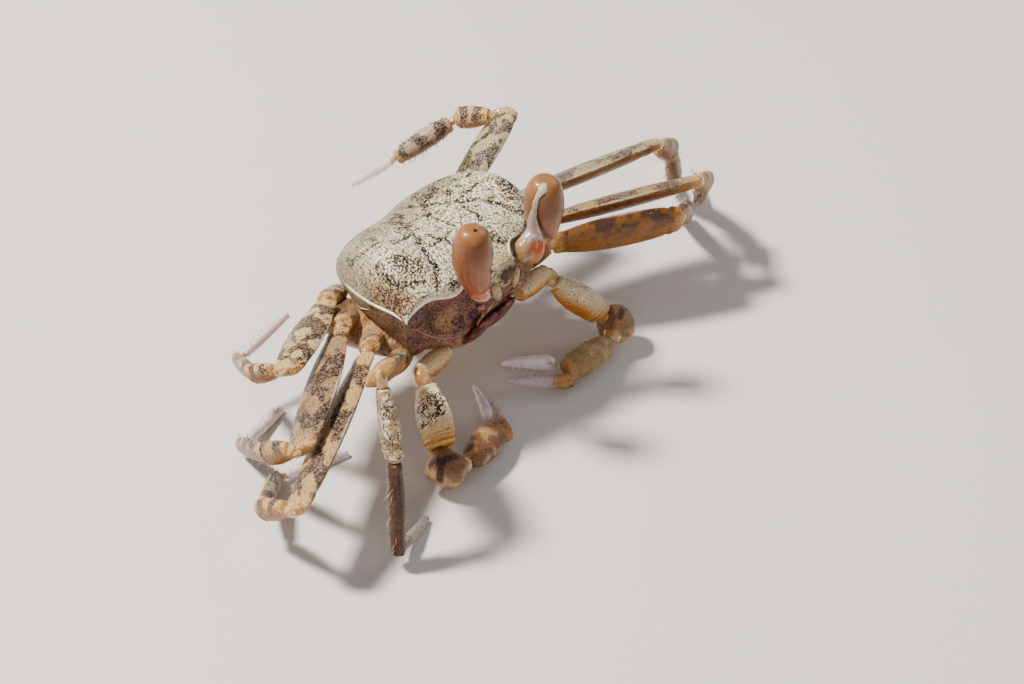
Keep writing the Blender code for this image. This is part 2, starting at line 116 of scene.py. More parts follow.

# Eyes, and what differs between them: how far it sits lower, the way it faces, the height of its dark blotch, its
# pupil spot, the strength of the strip's dark border and the strip's last turn, the shift of the cornea's foot
# and of the stalk's, the stalk's foot and neck widths, and the swelling at its foot
EYE_CENTRE, CORNEA_RADIUS, CORNEA_HALF = (3.77, -5.72, 3.85), 1.28, 2.45
STRIP_HEIGHTS = (-0.62, -0.35, 0.0, 0.3, 0.6, 0.82, 0.96)
STRIP_WIDTHS = (0.92, 0.8, 0.55, 0.32, 0.24, 0.42, 0.18)
EYES = {
    1: dict(lower=0.42, gaze=-2.1, blotch=0.3, spot=(-0.56, -0.34, 0.76), border=0.9, bend=0.5, lean=(0.0, 0.0),
            shift=0.0, foot=[(2.4, -5.4, 1.2), (2.7, -5.48, 1.75)], neck=(0.68, 0.54),
            swelling=("bulb", (0.9, 0.8, 0.9), (2.34, -5.4, 1.0), 0)),
    -1: dict(lower=0.0, gaze=-0.8, blotch=0.52, spot=(-0.06, -0.12, 0.98), border=0.0, bend=0.0, lean=(0.2, -0.27),
             shift=0.3, foot=[(-3.1, -5.3, 1.3), (-3.05, -5.45, 1.8)], neck=(0.4, 0.4),
             swelling=("cup", (0.6, 0.54, 0.44), (-3.55, -6.04, 1.5), -30)),
}

# Face: feeler bases, and the thin strips with their places, half thickness and taper
FEELER_BASE, FEELER_BASE_AT = (0.36, 0.24, 0.72), (1.02, -5.62, -0.24)
ANTENNA_BASE, ANTENNA_BASE_AT = (0.28, 0.2, 0.22), (2.1, -5.22, -0.95)
FEELER = ((1.15, -5.6, -0.85), (1.5, -5.6, -1.0), (1.75, -5.5, -1.25), (1.5, -5.4, -1.5))
ANTENNA = ((2.1, -5.3, -1.0), (2.3, -5.5, -1.1), (2.55, -5.6, -1.32), (2.85, -5.6, -1.55))
MOUTH_RIDGE = ((0.45, -5.42, -1.3), (0.95, -5.38, -1.42), (1.5, -5.3, -1.55), (2.1, -5.2, -1.85),
               (2.35, -5.1, -2.3))

# Underside: flanks, and the places of the seams from front to rear
FLANK, FLANK_AT, FLANK_FOLDS = (1.9, 4.1, 1.25), (5.75, 0.8, -3.1), (-1.5, 0.45, 2.4)
BREAST_SEAMS, FLAP_SEAMS = (-2.4, -0.8, 0.8, 2.4, 3.8), (0.6, 1.6, 2.6, 3.5, 4.4, 5.3)

# Claws: wrist, palm, and the two fingers with the places of their teeth
CLAW_CARPUS_AT, CLAW_CARPUS = (9.3, -7.95, -7.85), (1.16, 1.1, 1.24)
PALM_START, PALM_END, PALM_SIZE = (7.75, -8.65, -8.05), (3.7, -7.9, -8.35), (2.0, 1.5)
PALM_PROFILE = ((0.0, 0.42), (0.08, 0.66), (0.25, 0.88), (0.45, 1.0), (0.68, 1.0), (0.88, 0.86), (0.97, 0.7),
                (1.0, 0.55))
FINGER_HEADING, FINGER_LENGTH, FINGER_WIDTH, FIXED_EXTRA = -143, 3.5, (1.1, 0.8), 0.9
FINGER_PROFILE = ((0.0, 0.72), (0.1, 1.0), (0.3, 0.95), (0.55, 0.8), (0.8, 0.55), (0.93, 0.36), (1.0, 0.22))
THUMB_OFFSET, FINGER_START = (-1.15, -1.0, -0.75), (3.6, -7.1, -8.05)
FIXED_TEETH, MOVING_TEETH = (0.45, 0.57, 0.69, 0.8), (0.4, 0.53, 0.66, 0.78)
WRIST_SKIN = 0.62
WRIST_FORK = (((0.62, -0.1, 0.98), (0.85, -0.25, 0.75), (1.1, -0.4, 0.3), (1.13, -0.41, -0.15)),
              ((0.95, 0.4, 0.75), (0.62, -0.1, 1.0), (-0.29, -0.49, 0.98)))

# Legs: dark bands (place, half width, strength) and raised rings (place, width, height) along each segment
LEGS = [f"{label}_leg_{number}" for _, label in SIDES for number in (2, 3, 4, 5)]
SEGMENTS = ("base", "merus", "carpus", "propodus", "dactyl")
BANDS = {
    "base": ((0.4, 0.1, 0.4), (0.8, 0.08, 0.5)),
    "merus": ((0.1, 0.05, 0.9), (0.27, 0.05, 0.5), (0.42, 0.1, 1.0), (0.62, 0.04, 0.7), (0.78, 0.07, 1.0),
              (0.92, 0.03, 0.6)),
    "carpus": ((0.3, 0.1, 0.8), (0.72, 0.12, 1.0)),
    "propodus": ((0.2, 0.1, 0.9), (0.55, 0.1, 1.0), (0.82, 0.06, 0.8)),
    "dactyl": ((0.12, 0.08, 0.25),),
}
RINGS = {
    "base": ((0.9, 0.03, 0.05),),
    "merus": ((0.05, 0.02, 0.05), (0.915, 0.018, 0.07), (0.875, 0.02, -0.05)),
    "carpus": ((0.1, 0.03, 0.07), (0.88, 0.03, 0.08), (0.8, 0.04, -0.05)),
    "propodus": ((0.06, 0.02, 0.08), (0.93, 0.02, 0.06)),
    "dactyl": ((0.05, 0.02, 0.08),),
}
ARM_RINGS = ((0.8, 0.012, 0.05), (0.86, 0.02, 0.09), (0.93, 0.02, 0.1))
CREASES = {"merus": 0.75, "propodus": 0.35, "carpus": 0.2}
# Lit top tones of the legs; the right fourth leg's dark olive-brown top is painted shade
LEG_TOPS = {"left_leg_2": (138, 94, 52), "left_leg_3": (150, 120, 72), "left_leg_4": (146, 136, 98),
            "left_leg_5": (168, 154, 112), "right_leg_2": (150, 136, 108), "right_leg_3": (178, 144, 92),
            "right_leg_4": (140, 108, 66)}
# Bristles of a leg: how many stand on each segment, and their length beside the longest
BRISTLES = (("merus", 26, 0.45), ("carpus", 16, 0.45), ("propodus", 60, 1.0), ("dactyl", 40, 0.6))
BRISTLE_SEED, HINGE_BRISTLES = 7, 14

# Stage: each lamp's way from the crab, distance and size in metres, power and colour; then the camera's
# azimuth, elevation and roll in degrees and its distance, and how far the crab stands to the right and down in
# view, beside the depth that it is seen at
LAMPS = (("key", (-0.3, 0.5, 0.85), 0.32, 0.05, 2.5, (1.0, 0.95, 0.88)),
         ("fill", (-0.75, -0.65, 0.5), 0.35, 0.25, 0.3, (1.0, 0.93, 0.88)),
         ("side", (0.8, -0.3, 0.6), 0.35, 0.2, 0.2, (0.94, 0.97, 1.0)))
SKY, SKY_STRENGTH = (0.95, 0.97, 1.0, 1), 0.24
FLOOR_SIZE, FLOOR_TONES = 3, ((0.72, 0.69, 0.66), (0.78, 0.75, 0.72))
CAMERA_WAY, CAMERA_FAR, LENS, SENSOR = (-53.0, 35.65, 0.26), 180.7, 100, 36
AIM_RIGHT, AIM_DOWN, AIM_DEPTH = 77.55, 92.37, 2844


# ---- sizes and colours ---------------------------------------------------------------------
def shade(red, green, blue):
    """Linear colour from everyday 0-255 values."""
    return tuple(((c / 255) / 12.92 if c <= 10 else ((c / 255 + 0.055) / 1.055) ** 2.4)
                 for c in (red, green, blue))


def colour(name, description, red, green, blue):
    return bpy.props.FloatVectorProperty(name=name, description=description, subtype="COLOR", size=3,
                                         min=0, max=1, default=shade(red, green, blue))


def length(name, description, millimetres):
    return bpy.props.FloatProperty(name=name, description=description, subtype="DISTANCE", unit="LENGTH",
                                   default=millimetres * MM, min=0, precision=6)


class CrabSizes(bpy.types.PropertyGroup):
    shell_cell: length("Shell cell", "Size of the shell's finest mesh cell", 0.085)
    granule: length("Granule height", "How far the shell's grains stand out", 0.022)
    groove: length("Groove depth", "Depth of the two main shell grooves", 0.13)
    rim: length("Rim radius", "Half thickness of the brow and side rims", 0.16)
    seta: length("Bristle length", "Length of the longest leg bristles", 0.6)
    seta_root: length("Bristle thickness", "Thickness of a bristle at its root", 0.055)


class CrabColours(bpy.types.PropertyGroup):
    sand: colour("Sand", "Middle of the shell", 186, 170, 128)
    olive: colour("Olive", "Rear and sides of the shell", 120, 114, 84)
    ink: colour("Ink", "Fine dark strokes", 24, 18, 17)
    chalk: colour("Chalk", "Pale grains and edges", 246, 241, 226)
    rust: colour("Rust", "Speckles by the side edge", 138, 74, 38)
    # Amber and cream are also painted shade and painted light: amber the shaded lower tone and cream the lit upper
    # tone of the legs
    amber: colour("Amber", "Undersides and joints", 158, 100, 44)
    cream: colour("Cream", "Upper faces of the legs", 198, 172, 124)
    lilac: colour("Lilac", "Toes and fingers", 214, 196, 206)
    cornea: colour("Cornea", "Eye surface", 138, 86, 46)
    salmon: colour("Salmon", "Foot of the eye", 196, 104, 60)


def size(name):
    """One of the crab's sizes, in millimetres."""
    return getattr(bpy.context.scene.crab_sizes, name) / MM


def hue(paint):
    """Linear colour from the name of one of the crab's colours or from 0-255 values."""
    if isinstance(paint, str):
        return np.array(getattr(bpy.context.scene.crab_colours, paint))
    return np.array(shade(*paint)) if isinstance(paint, tuple) else paint


# ---- modelling helpers -----------------------------------------------------------------------
def deselect():
    if bpy.context.object and bpy.context.object.mode != "OBJECT":
        bpy.ops.object.mode_set(mode="OBJECT")
    bpy.ops.object.select_all(action="DESELECT")


def pick(*things):
    deselect()
    for thing in things:
        thing.select_set(True)
    bpy.context.view_layer.objects.active = things[0]


def apply_place(thing):
    """Moves a piece's place, turn and scale into its mesh."""
    pick(thing)
    bpy.ops.object.transform_apply(location=True, rotation=True, scale=True)
    return thing


def modifier(thing, kind, **settings):
    """Adds a modifier to a piece and applies it."""
    pick(thing)
    bpy.ops.object.modifier_add(type=kind)
    made = thing.modifiers[-1]
    for key, value in settings.items():
        setattr(made, key, value)
    bpy.ops.object.modifier_apply(modifier=made.name)


def rounded(thing, levels):
    modifier(thing, "SUBSURF", levels=levels, render_levels=levels)


def melted(thing, cell, rounds):
    """Makes a piece one closed skin of even cells, smoothed over."""
    modifier(thing, "REMESH", mode="VOXEL", voxel_size=cell)
    modifier(thing, "SMOOTH", factor=0.5, iterations=rounds)


def boolean(thing, other, operation):
    modifier(thing, "BOOLEAN", object=other, operation=operation, solver="EXACT")
    bpy.data.objects.remove(other, do_unlink=True)


def edit(thing, *steps):
    """Runs mesh tools on the whole of a piece, one after the other."""
    pick(thing)
    bpy.ops.object.mode_set(mode="EDIT")
    for tool, settings in steps:
        bpy.ops.mesh.select_all(action="SELECT")
        tool(**settings)
    bpy.ops.object.mode_set(mode="OBJECT")
    return thing


def cut_rings(thing, heights):
    edit(thing, *((bpy.ops.mesh.bisect, dict(plane_co=(0, 0, height), plane_no=(0, 0, 1))) for height in heights))


def outward(thing):
    return edit(thing, (bpy.ops.mesh.remove_doubles, dict(threshold=0.0005)),
                (bpy.ops.mesh.normals_make_consistent, dict(inside=False)))


def join(first, *others):
    pick(first, *others)
    bpy.ops.object.join()
    return first


def triples(layer, field):
    out = np.empty(len(layer) * 3, np.float32)
    layer.foreach_get(field, out)
    return out.reshape(-1, 3).astype(float)


def points(thing):
    return triples(thing.data.vertices, "co")


def normals(thing):
    return triples(thing.data.vertex_normals, "vector")


def move_points(thing, co):
    thing.data.vertices.foreach_set("co", np.ascontiguousarray(co, np.float32).ravel())
    thing.data.update()


def new_object(name, data):
    made = bpy.data.objects.new(name, data)
    bpy.context.scene.collection.objects.link(made)
    return made


def solid_points(node):
    """A node's points in millimetres about the shell's middle."""
    return (points(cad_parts[node]) - np.array(HOME)) / MM


def solid_copy(node, name):
    """Own merged copy of a solid, in millimetres about the shell's middle, with its flat faces joined up."""
    made = new_object(name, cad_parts[node].data.copy())
    made.data.materials.clear()
    made.data.transform(Matrix.Scale(1 / MM, 4) @ Matrix.Translation(-HOME))
    flat = math.radians(60)
    return edit(made, (bpy.ops.mesh.remove_doubles, dict(threshold=0.001)),
                (bpy.ops.mesh.tris_convert_to_quads, dict(face_threshold=flat, shape_threshold=flat)))


def add_ball(name, radii, at=(0, 0, 0), turn=0.0, across=64, rings=48):
    """A ball drawn out to its radii, turned about the upright and put in its place."""
    deselect()
    bpy.ops.mesh.primitive_uv_sphere_add(segments=across, ring_count=rings, radius=1)
    made = bpy.context.object
    made.name = name
    made.scale, made.rotation_euler, made.location = radii, (0, 0, math.radians(turn)), at
    return apply_place(made)


def point_along(thing, middle, way):
    """Moves an upright piece to its middle and turns it along a way."""
    thing.matrix_world = Matrix.Translation(middle) @ way.to_track_quat("Z", "Y").to_matrix().to_4x4()
    return apply_place(thing)


def grain(thing, width, height, kind="VORONOI"):
    """Raises small grains all over a piece."""
    texture = bpy.data.textures.new("grain", kind)
    texture.noise_scale = width
    modifier(thing, "DISPLACE", texture=texture, texture_coords="LOCAL", strength=height, mid_level=0.5)
    return thing


def settle(thing, paint, slot, *nodes):
    """Brings a finished piece from millimetres to its place over the floor and hangs it on the crab."""
    thing.scale = (MM, MM, MM)
    thing.location = HOME
    apply_place(thing)
    co = points(thing)
    co[:, 2] = np.maximum(co[:, 2], 0)
    move_points(thing, co)
    bpy.ops.object.shade_smooth()
    thing.data.materials.clear()
    thing.data.materials.append(finish(paint))
    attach(thing, "root")
    if nodes:
        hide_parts(*nodes)


def smooth_read(pairs, at):
    """Smooth reading of a small table of (position, value)."""
    xs, ys = np.array(pairs, float).T
    at = np.clip(at, xs[0], xs[-1])
    slope = np.gradient(ys, xs)
    k = np.clip(np.searchsorted(xs, at) - 1, 0, len(xs) - 2)
    step = xs[k + 1] - xs[k]
    t = (at - xs[k]) / step
    return ((2 * t ** 3 - 3 * t ** 2 + 1) * ys[k] + (t ** 3 - 2 * t ** 2 + t) * step * slope[k]
            + (-2 * t ** 3 + 3 * t ** 2) * ys[k + 1] + (t ** 3 - t ** 2) * step * slope[k + 1])


def ramp(values, low, high):
    """Soft step from 0 at low to 1 at high."""
    t = np.clip((np.asarray(values) - low) / (high - low), 0, 1)
    return t * t * (3 - 2 * t)


def bell(away, reach):
    """1 at no distance, falling softly to 0 beyond the reach."""
    return np.exp(-(away / reach) ** 2)


def from_line(co, line):
    """Distance of every point from a line through a few places."""
    best = np.full(len(co), 1e9)
    line = np.array(line, float)
    for a, b in zip(line, line[1:]):
        along = np.clip((co - a) @ (b - a) / ((b - a) @ (b - a)), 0, 1)
        best = np.minimum(best, np.linalg.norm(co - a - along[:, None] * (b - a), axis=1))
    return best


def on_side(place, side):
    """A place of the left half, or its mirror image for the right."""
    return (place[0] * side, *place[1:])


def mirrored(line, side):
    return [on_side(place, side) for place in line]


def above(co, line, side):
    """Distance from a line of one half seen from straight above, its places given by x and y alone."""
    return from_line(co * (1, 1, 0), [(*place[:2], 0) for place in mirrored(line, side)])


def swap(under, over, share):
    return under * (1 - share) + over * share


def blend(under, over, share):
    """Colours laid over others by a share for each point."""
    return swap(hue(under), hue(over), np.clip(np.asarray(share), 0, 1)[..., None])


def cloud(co, width, seed=0.0):
    """Soft noise between 0 and 1 at each point."""
    shift = Vector((seed, seed * 1.7, -seed))
    return np.array([0.5 + 0.5 * turbulence.noise(Vector(p) / width + shift) for p in co])


def lay(thing, tint, ink=0.0, chalk=0.0, rich=1.0):
    """Stores a piece's laid colour, richer if asked, and its amounts of dark strokes and pale grains."""
    count = len(thing.data.vertices)
    tint = np.broadcast_to(hue(tint), (count, 3))
    grey = tint @ np.array([[0.3], [0.59], [0.11]])
    tint = np.clip(grey + (tint - grey) * rich, 0.002, 1)
    layer = thing.data.attributes.new("tint", "FLOAT_COLOR", "POINT")
    layer.data.foreach_set("color", np.concatenate([tint, np.ones((count, 1))], 1).astype(np.float32).ravel())
    for name, value in (("ink", ink), ("chalk", chalk)):
        layer = thing.data.attributes.new(name, "FLOAT", "POINT")
        layer.data.foreach_set("value", np.broadcast_to(value, count).astype(np.float32))


def bead(name, line, radius, taper=0.25, widths=None):
    """Smooth rounded strip along a line, thinner at its two ends or as wide as told."""
    curve = bpy.data.curves.new(name, "CURVE")
    curve.dimensions = "3D"
    curve.bevel_depth, curve.bevel_resolution, curve.resolution_u, curve.use_fill_caps = radius, 3, 6, True
    spline = curve.splines.new("BEZIER")
    spline.bezier_points.add(len(line) - 1)
    for k, (point, place) in enumerate(zip(spline.bezier_points, line)):
        point.co = place
        point.handle_left_type = point.handle_right_type = "AUTO"
        share = k / (len(line) - 1)
        point.radius = widths[k] if widths else taper + (1 - taper) * min(1.0, 4 * min(share, 1 - share))
    pick(new_object(name, curve))
    bpy.ops.object.convert(target="MESH")
    return outward(bpy.context.object)


def onto(thing, line, sink):
    """Moves the places of a line onto a piece's surface, or a little below it."""
    hits = [thing.closest_point_on_mesh(Vector(place)) for place in line]
    return [tuple(where - normal * sink) for _, where, normal, _ in hits]


# ---- finishes --------------------------------------------------------------------------------
class Flow:
    """What a shader node gives out, to be reckoned with like a number."""

    def __init__(self, mixer, socket):
        self.mixer, self.socket = mixer, socket

    def maths(self, operation, first, second=0.0):
        made = self.mixer.tree.nodes.new("ShaderNodeMath")
        made.operation = operation
        for socket, value in zip(made.inputs, (first, second)):
            self.mixer.plug(socket, value)
        return Flow(self.mixer, made.outputs[0])

    def __add__(self, other):
        return self.maths("ADD", self, other)

    def __sub__(self, other):
        return self.maths("SUBTRACT", self, other)

    def __rsub__(self, other):
        return self.maths("SUBTRACT", other, self)

    def __mul__(self, other):
        return self.maths("MULTIPLY", self, other)

    def __abs__(self):
        return self.maths("ABSOLUTE", self)

    def held(self):
        """The same value, kept between 0 and 1."""
        self.socket.node.use_clamp = True
        return self


class Mixer:
    """A finish in the making: its nodes read the piece's own place, in millimetres, and end in one shader."""

    def __init__(self, name, **sockets):
        self.material = bpy.data.materials.new(name)
        self.material.use_nodes = True
        self.tree = self.material.node_tree
        self.shader = self.tree.nodes["Principled BSDF"]
        self.send(**sockets)
        self.fine = self.node("Mapping", 0, Vector=self.node("TexCoord", "Object"), Scale=(1000, 1000, 1000))

    def plug(self, socket, value):
        if isinstance(value, Flow):
            self.tree.links.new(value.socket, socket)
        else:
            socket.default_value = (*value, 1) if socket.type == "RGBA" else value

    def send(self, **sockets):
        for name, value in sockets.items():
            self.plug(self.shader.inputs[name.replace("_", " ")], value)

    def node(self, kind, output, **sockets):
        made = self.tree.nodes.new("ShaderNode" + kind)
        for name, value in sockets.items():
            self.plug(made.inputs[name], value)
        return Flow(self, made.outputs[output])

    def laid(self, name, output="Fac"):
        made = self.node("Attribute", output)
        made.socket.node.attribute_name = name
        return made

    def noise(self, scale, detail, **more):
        return self.node("TexNoise", 0, Vector=self.fine, Scale=scale, Detail=detail, **more)

    def cells(self, scale, randomness):
        return self.node("TexVoronoi", "Distance", Vector=self.fine, Scale=scale, Randomness=randomness)

    def mix(self, share, under, over, kind="MIX"):
        made = self.tree.nodes.new("ShaderNodeMix")
        made.data_type, made.blend_type = "RGBA", kind
        for index, value in ((0, share), (6, under), (7, over)):
            self.plug(made.inputs[index], value)
        return Flow(self, made.outputs[2])

    def relief(self, height, strength, depth):
        return self.node("Bump", 0, Height=height, Strength=strength, Distance=depth)


def hard_finish(name, stroke=7.2, gloss=0.36, wet=0.16, through=0.12, relief=0.5):
    """Shell or limb finish: laid colour, wandering dark strokes, pale grains, grain relief and a wet coat."""
    made = Mixer(name, Coat_Weight=wet, Coat_Roughness=0.08, Subsurface_Weight=through,
                 Subsurface_Scale=0.0008, Subsurface_Radius=(1.0, 0.5, 0.3), IOR=1.3)
    tint, ink, chalk = made.laid("tint", "Color"), made.laid("ink"), made.laid("chalk")
    drift = made.noise(1.1, 3.0)
    worm = made.noise(stroke, 0.8, Distortion=0.5)
    cells, fleck = made.cells(10.0, 0.9), made.noise(16.0, 2.0)
    uneven = (drift - 0.5) * 1.5
    amount = (ink + ink * uneven).held()
    level = 0.655 - amount * 0.2
    dark = ((worm - level) * 22).held()
    depth = (dark * (amount * 0.48 + 0.52)).held()
    pale = ((level - 0.06 - worm) * 14).held()
    pale = (pale * (chalk * (fleck + 0.4))).held()
    base = made.mix((abs(uneven) * 0.5).held(), tint, made.mix(1.0, tint, (0.62, 0.6, 0.56), "MULTIPLY"))
    between = ((cells - 0.3) * 1.6).held()
    base = made.mix(between * 0.6, base, made.mix(1.0, base, (0.42, 0.36, 0.3), "MULTIPLY"))
    base = made.mix(depth, made.mix(pale, base, hue("chalk")), hue("ink"))
    bump = made.relief(fleck * 0.5 - cells - dark * 0.25, relief, 0.00004)
    made.send(Base_Color=base, Roughness=((fleck - 0.5) * 0.5 + gloss).held(), Normal=bump, Coat_Normal=bump)
    return made.material


def clear_finish(name, first, second, width, gloss, through, wet=0.5, passing=0.0):
    """Soft see-through finish of thin joints, rims and bristles, in two mingled colours."""
    made = Mixer(name, Coat_Weight=wet, Coat_Roughness=0.1, Subsurface_Weight=through, Subsurface_Scale=0.0008,
                 Subsurface_Radius=(1.0, 0.6, 0.4), IOR=1.45, Transmission_Weight=passing)
    drift = made.noise(width, 4.0)
    made.send(Base_Color=made.mix(((drift - 0.35) * 3.2).held(), hue(first), hue(second)),
              Roughness=((drift - 0.5) * 0.4 + gloss).held(),
              Normal=made.relief(made.noise(14.0, 2.0), 0.35, 0.00003))
    return made.material


def eye_finish(name):
    """Cornea: laid colour with tiny lens cells under a wet, glassy coat."""
    made = Mixer(name, Coat_Weight=0.35, Coat_Roughness=0.05, Subsurface_Weight=0.2,
                 Subsurface_Scale=0.0006, Subsurface_Radius=(1.0, 0.5, 0.25), IOR=1.33)
    tint = made.laid("tint", "Color")
    cells, drift = made.cells(16.0, 0.35), made.noise(1.4, 3.0)
    base = made.mix((cells * 0.35).held(), tint, made.mix(1.0, tint, (0.6, 0.5, 0.42), "MULTIPLY"))
    base = made.mix(((drift - 0.42) * 1.6).held(), base, made.mix(1.0, tint, (0.74, 0.7, 0.68), "MULTIPLY"))
    edge = ((made.node("LayerWeight", "Facing") - 0.72) * 3.0).held()
    made.send(Base_Color=made.mix(edge * 0.75, base, shade(70, 34, 36)), Roughness=drift * 0.16 + 0.26,
              Normal=made.relief(cells, 0.12, 0.00001))
    return made.material


HARD = {
    "shell": dict(relief=0.9),
    "limb": dict(stroke=8.0, relief=0.6, through=0.2, wet=0.22),
    "underside": dict(stroke=3.0, relief=0.4, through=0.2),
    "stalk": dict(stroke=6.0, gloss=0.2, wet=0.9, through=0.35, relief=0.2),
}
CLEAR = {
    "toe": ("lilac", (228, 220, 216), 1.6, 0.28, 0.45),
    "rim": ("chalk", (222, 208, 176), 2.2, 0.18, 0.25, 0.9),
    "low_rim": ((158, 104, 78), (120, 66, 56), 3.0, 0.3, 0.2),
    "joint": ((164, 112, 58), (196, 158, 106), 2.4, 0.2, 0.35, 0.9),
    "feeler": ((150, 112, 76), (176, 148, 108), 2.5, 0.3, 0.3),
    "bristle": ((214, 190, 150), (182, 140, 96), 3.0, 0.25, 0.2, 0.5, 0.25),
}
FINISHES = {}


def finish(name):
    """The crab's finishes, each made once."""
    if name not in FINISHES:
        if name in HARD:
            FINISHES[name] = hard_finish(name, **HARD[name])
        else:
            FINISHES[name] = clear_finish(name, *CLEAR[name]) if name in CLEAR else eye_finish(name)
    return FINISHES[name]


# ---- shell -----------------------------------------------------------------------------------
def shell_point(u, v):
    """Top of the shell: u runs across from -1 to 1, v from the front edge to the rear."""
    half = smooth_read(SIDE_HALF_WIDTHS, CORNER_Y + v * (SHELL_REAR_Y - CORNER_Y))
    out = np.abs(u) * FRONT_EDGE[-1][0]
    front_y, front_z = (smooth_read([(p[0], p[axis]) for p in FRONT_EDGE], out) for axis in (1, 2))
    y = front_y + v * (SHELL_REAR_Y - 0.5 * u * u - front_y)
    edge = (1 - v ** 3) * front_z + v ** 3 * SHELL_REAR_Z
    flat_rim = 1 - np.abs(u) ** 8
    dome = DOME_RISE * flat_rim * np.maximum(0.0, 1 - np.abs(2 * v - 0.88) ** np.where(v < 0.44, 2.6, 4.2))
    away = (np.abs(u * half) - SHOULDER_AT[0]) / SHOULDER_SPREAD[0], (y - SHOULDER_AT[1]) / SHOULDER_SPREAD[1]
    swell = SHOULDER * flat_rim * np.minimum(1.0, 6 * v) * np.exp(-away[0] ** 2 - away[1] ** 2)
    return np.stack([u * half, y, edge + dome + swell], -1)


def wall_point(home, share, ahead, behind):
    """A place on the side wall below a place on the shell's edge."""
    scale = np.interp(home[:, 1], (-2.0, 1.0), (ahead, behind))
    x, y = home[:, 0] * scale, home[:, 1] * scale
    swell = np.interp(share, *zip(*BROW_SWELL)) * smooth_read(SWELL_SPREAD, np.abs(home[:, 0]))
    y = y - swell * ramp(home[:, 1], -3.1, -3.5)
    foot = FOOT_PLANE[0] + FOOT_PLANE[1] * y
    return np.stack([x, y, home[:, 2] + share * (foot - home[:, 2])], -1)


def socket_lids(out):
    """Heights of an eye socket's upper and lower edge, from its inner (-1) to its outer (1) end."""
    return smooth_read(SOCKET_TOP, out), smooth_read(SOCKET_FLOOR, out)


def in_socket(co, side):
    """How far each point stands outside an eye socket, in its radii, its place across, and the floor's height."""
    turn = math.radians(-SOCKET_TURN * side)
    flat = co - np.array(on_side(SOCKET_AT, side))
    across = (flat[:, 0] * math.cos(turn) - flat[:, 1] * math.sin(turn)) * side / SOCKET[0]
    deep = (flat[:, 0] * math.sin(turn) + flat[:, 1] * math.cos(turn)) / SOCKET[1]
    high, low = socket_lids(across)
    tall = (flat[:, 2] - (high + low) / 2) / np.maximum((high - low) / 2, 0.02)
    return np.sqrt(across ** 2 + deep ** 2 + np.maximum(1 - across ** 2, 0.02) * tall ** 2), across, low


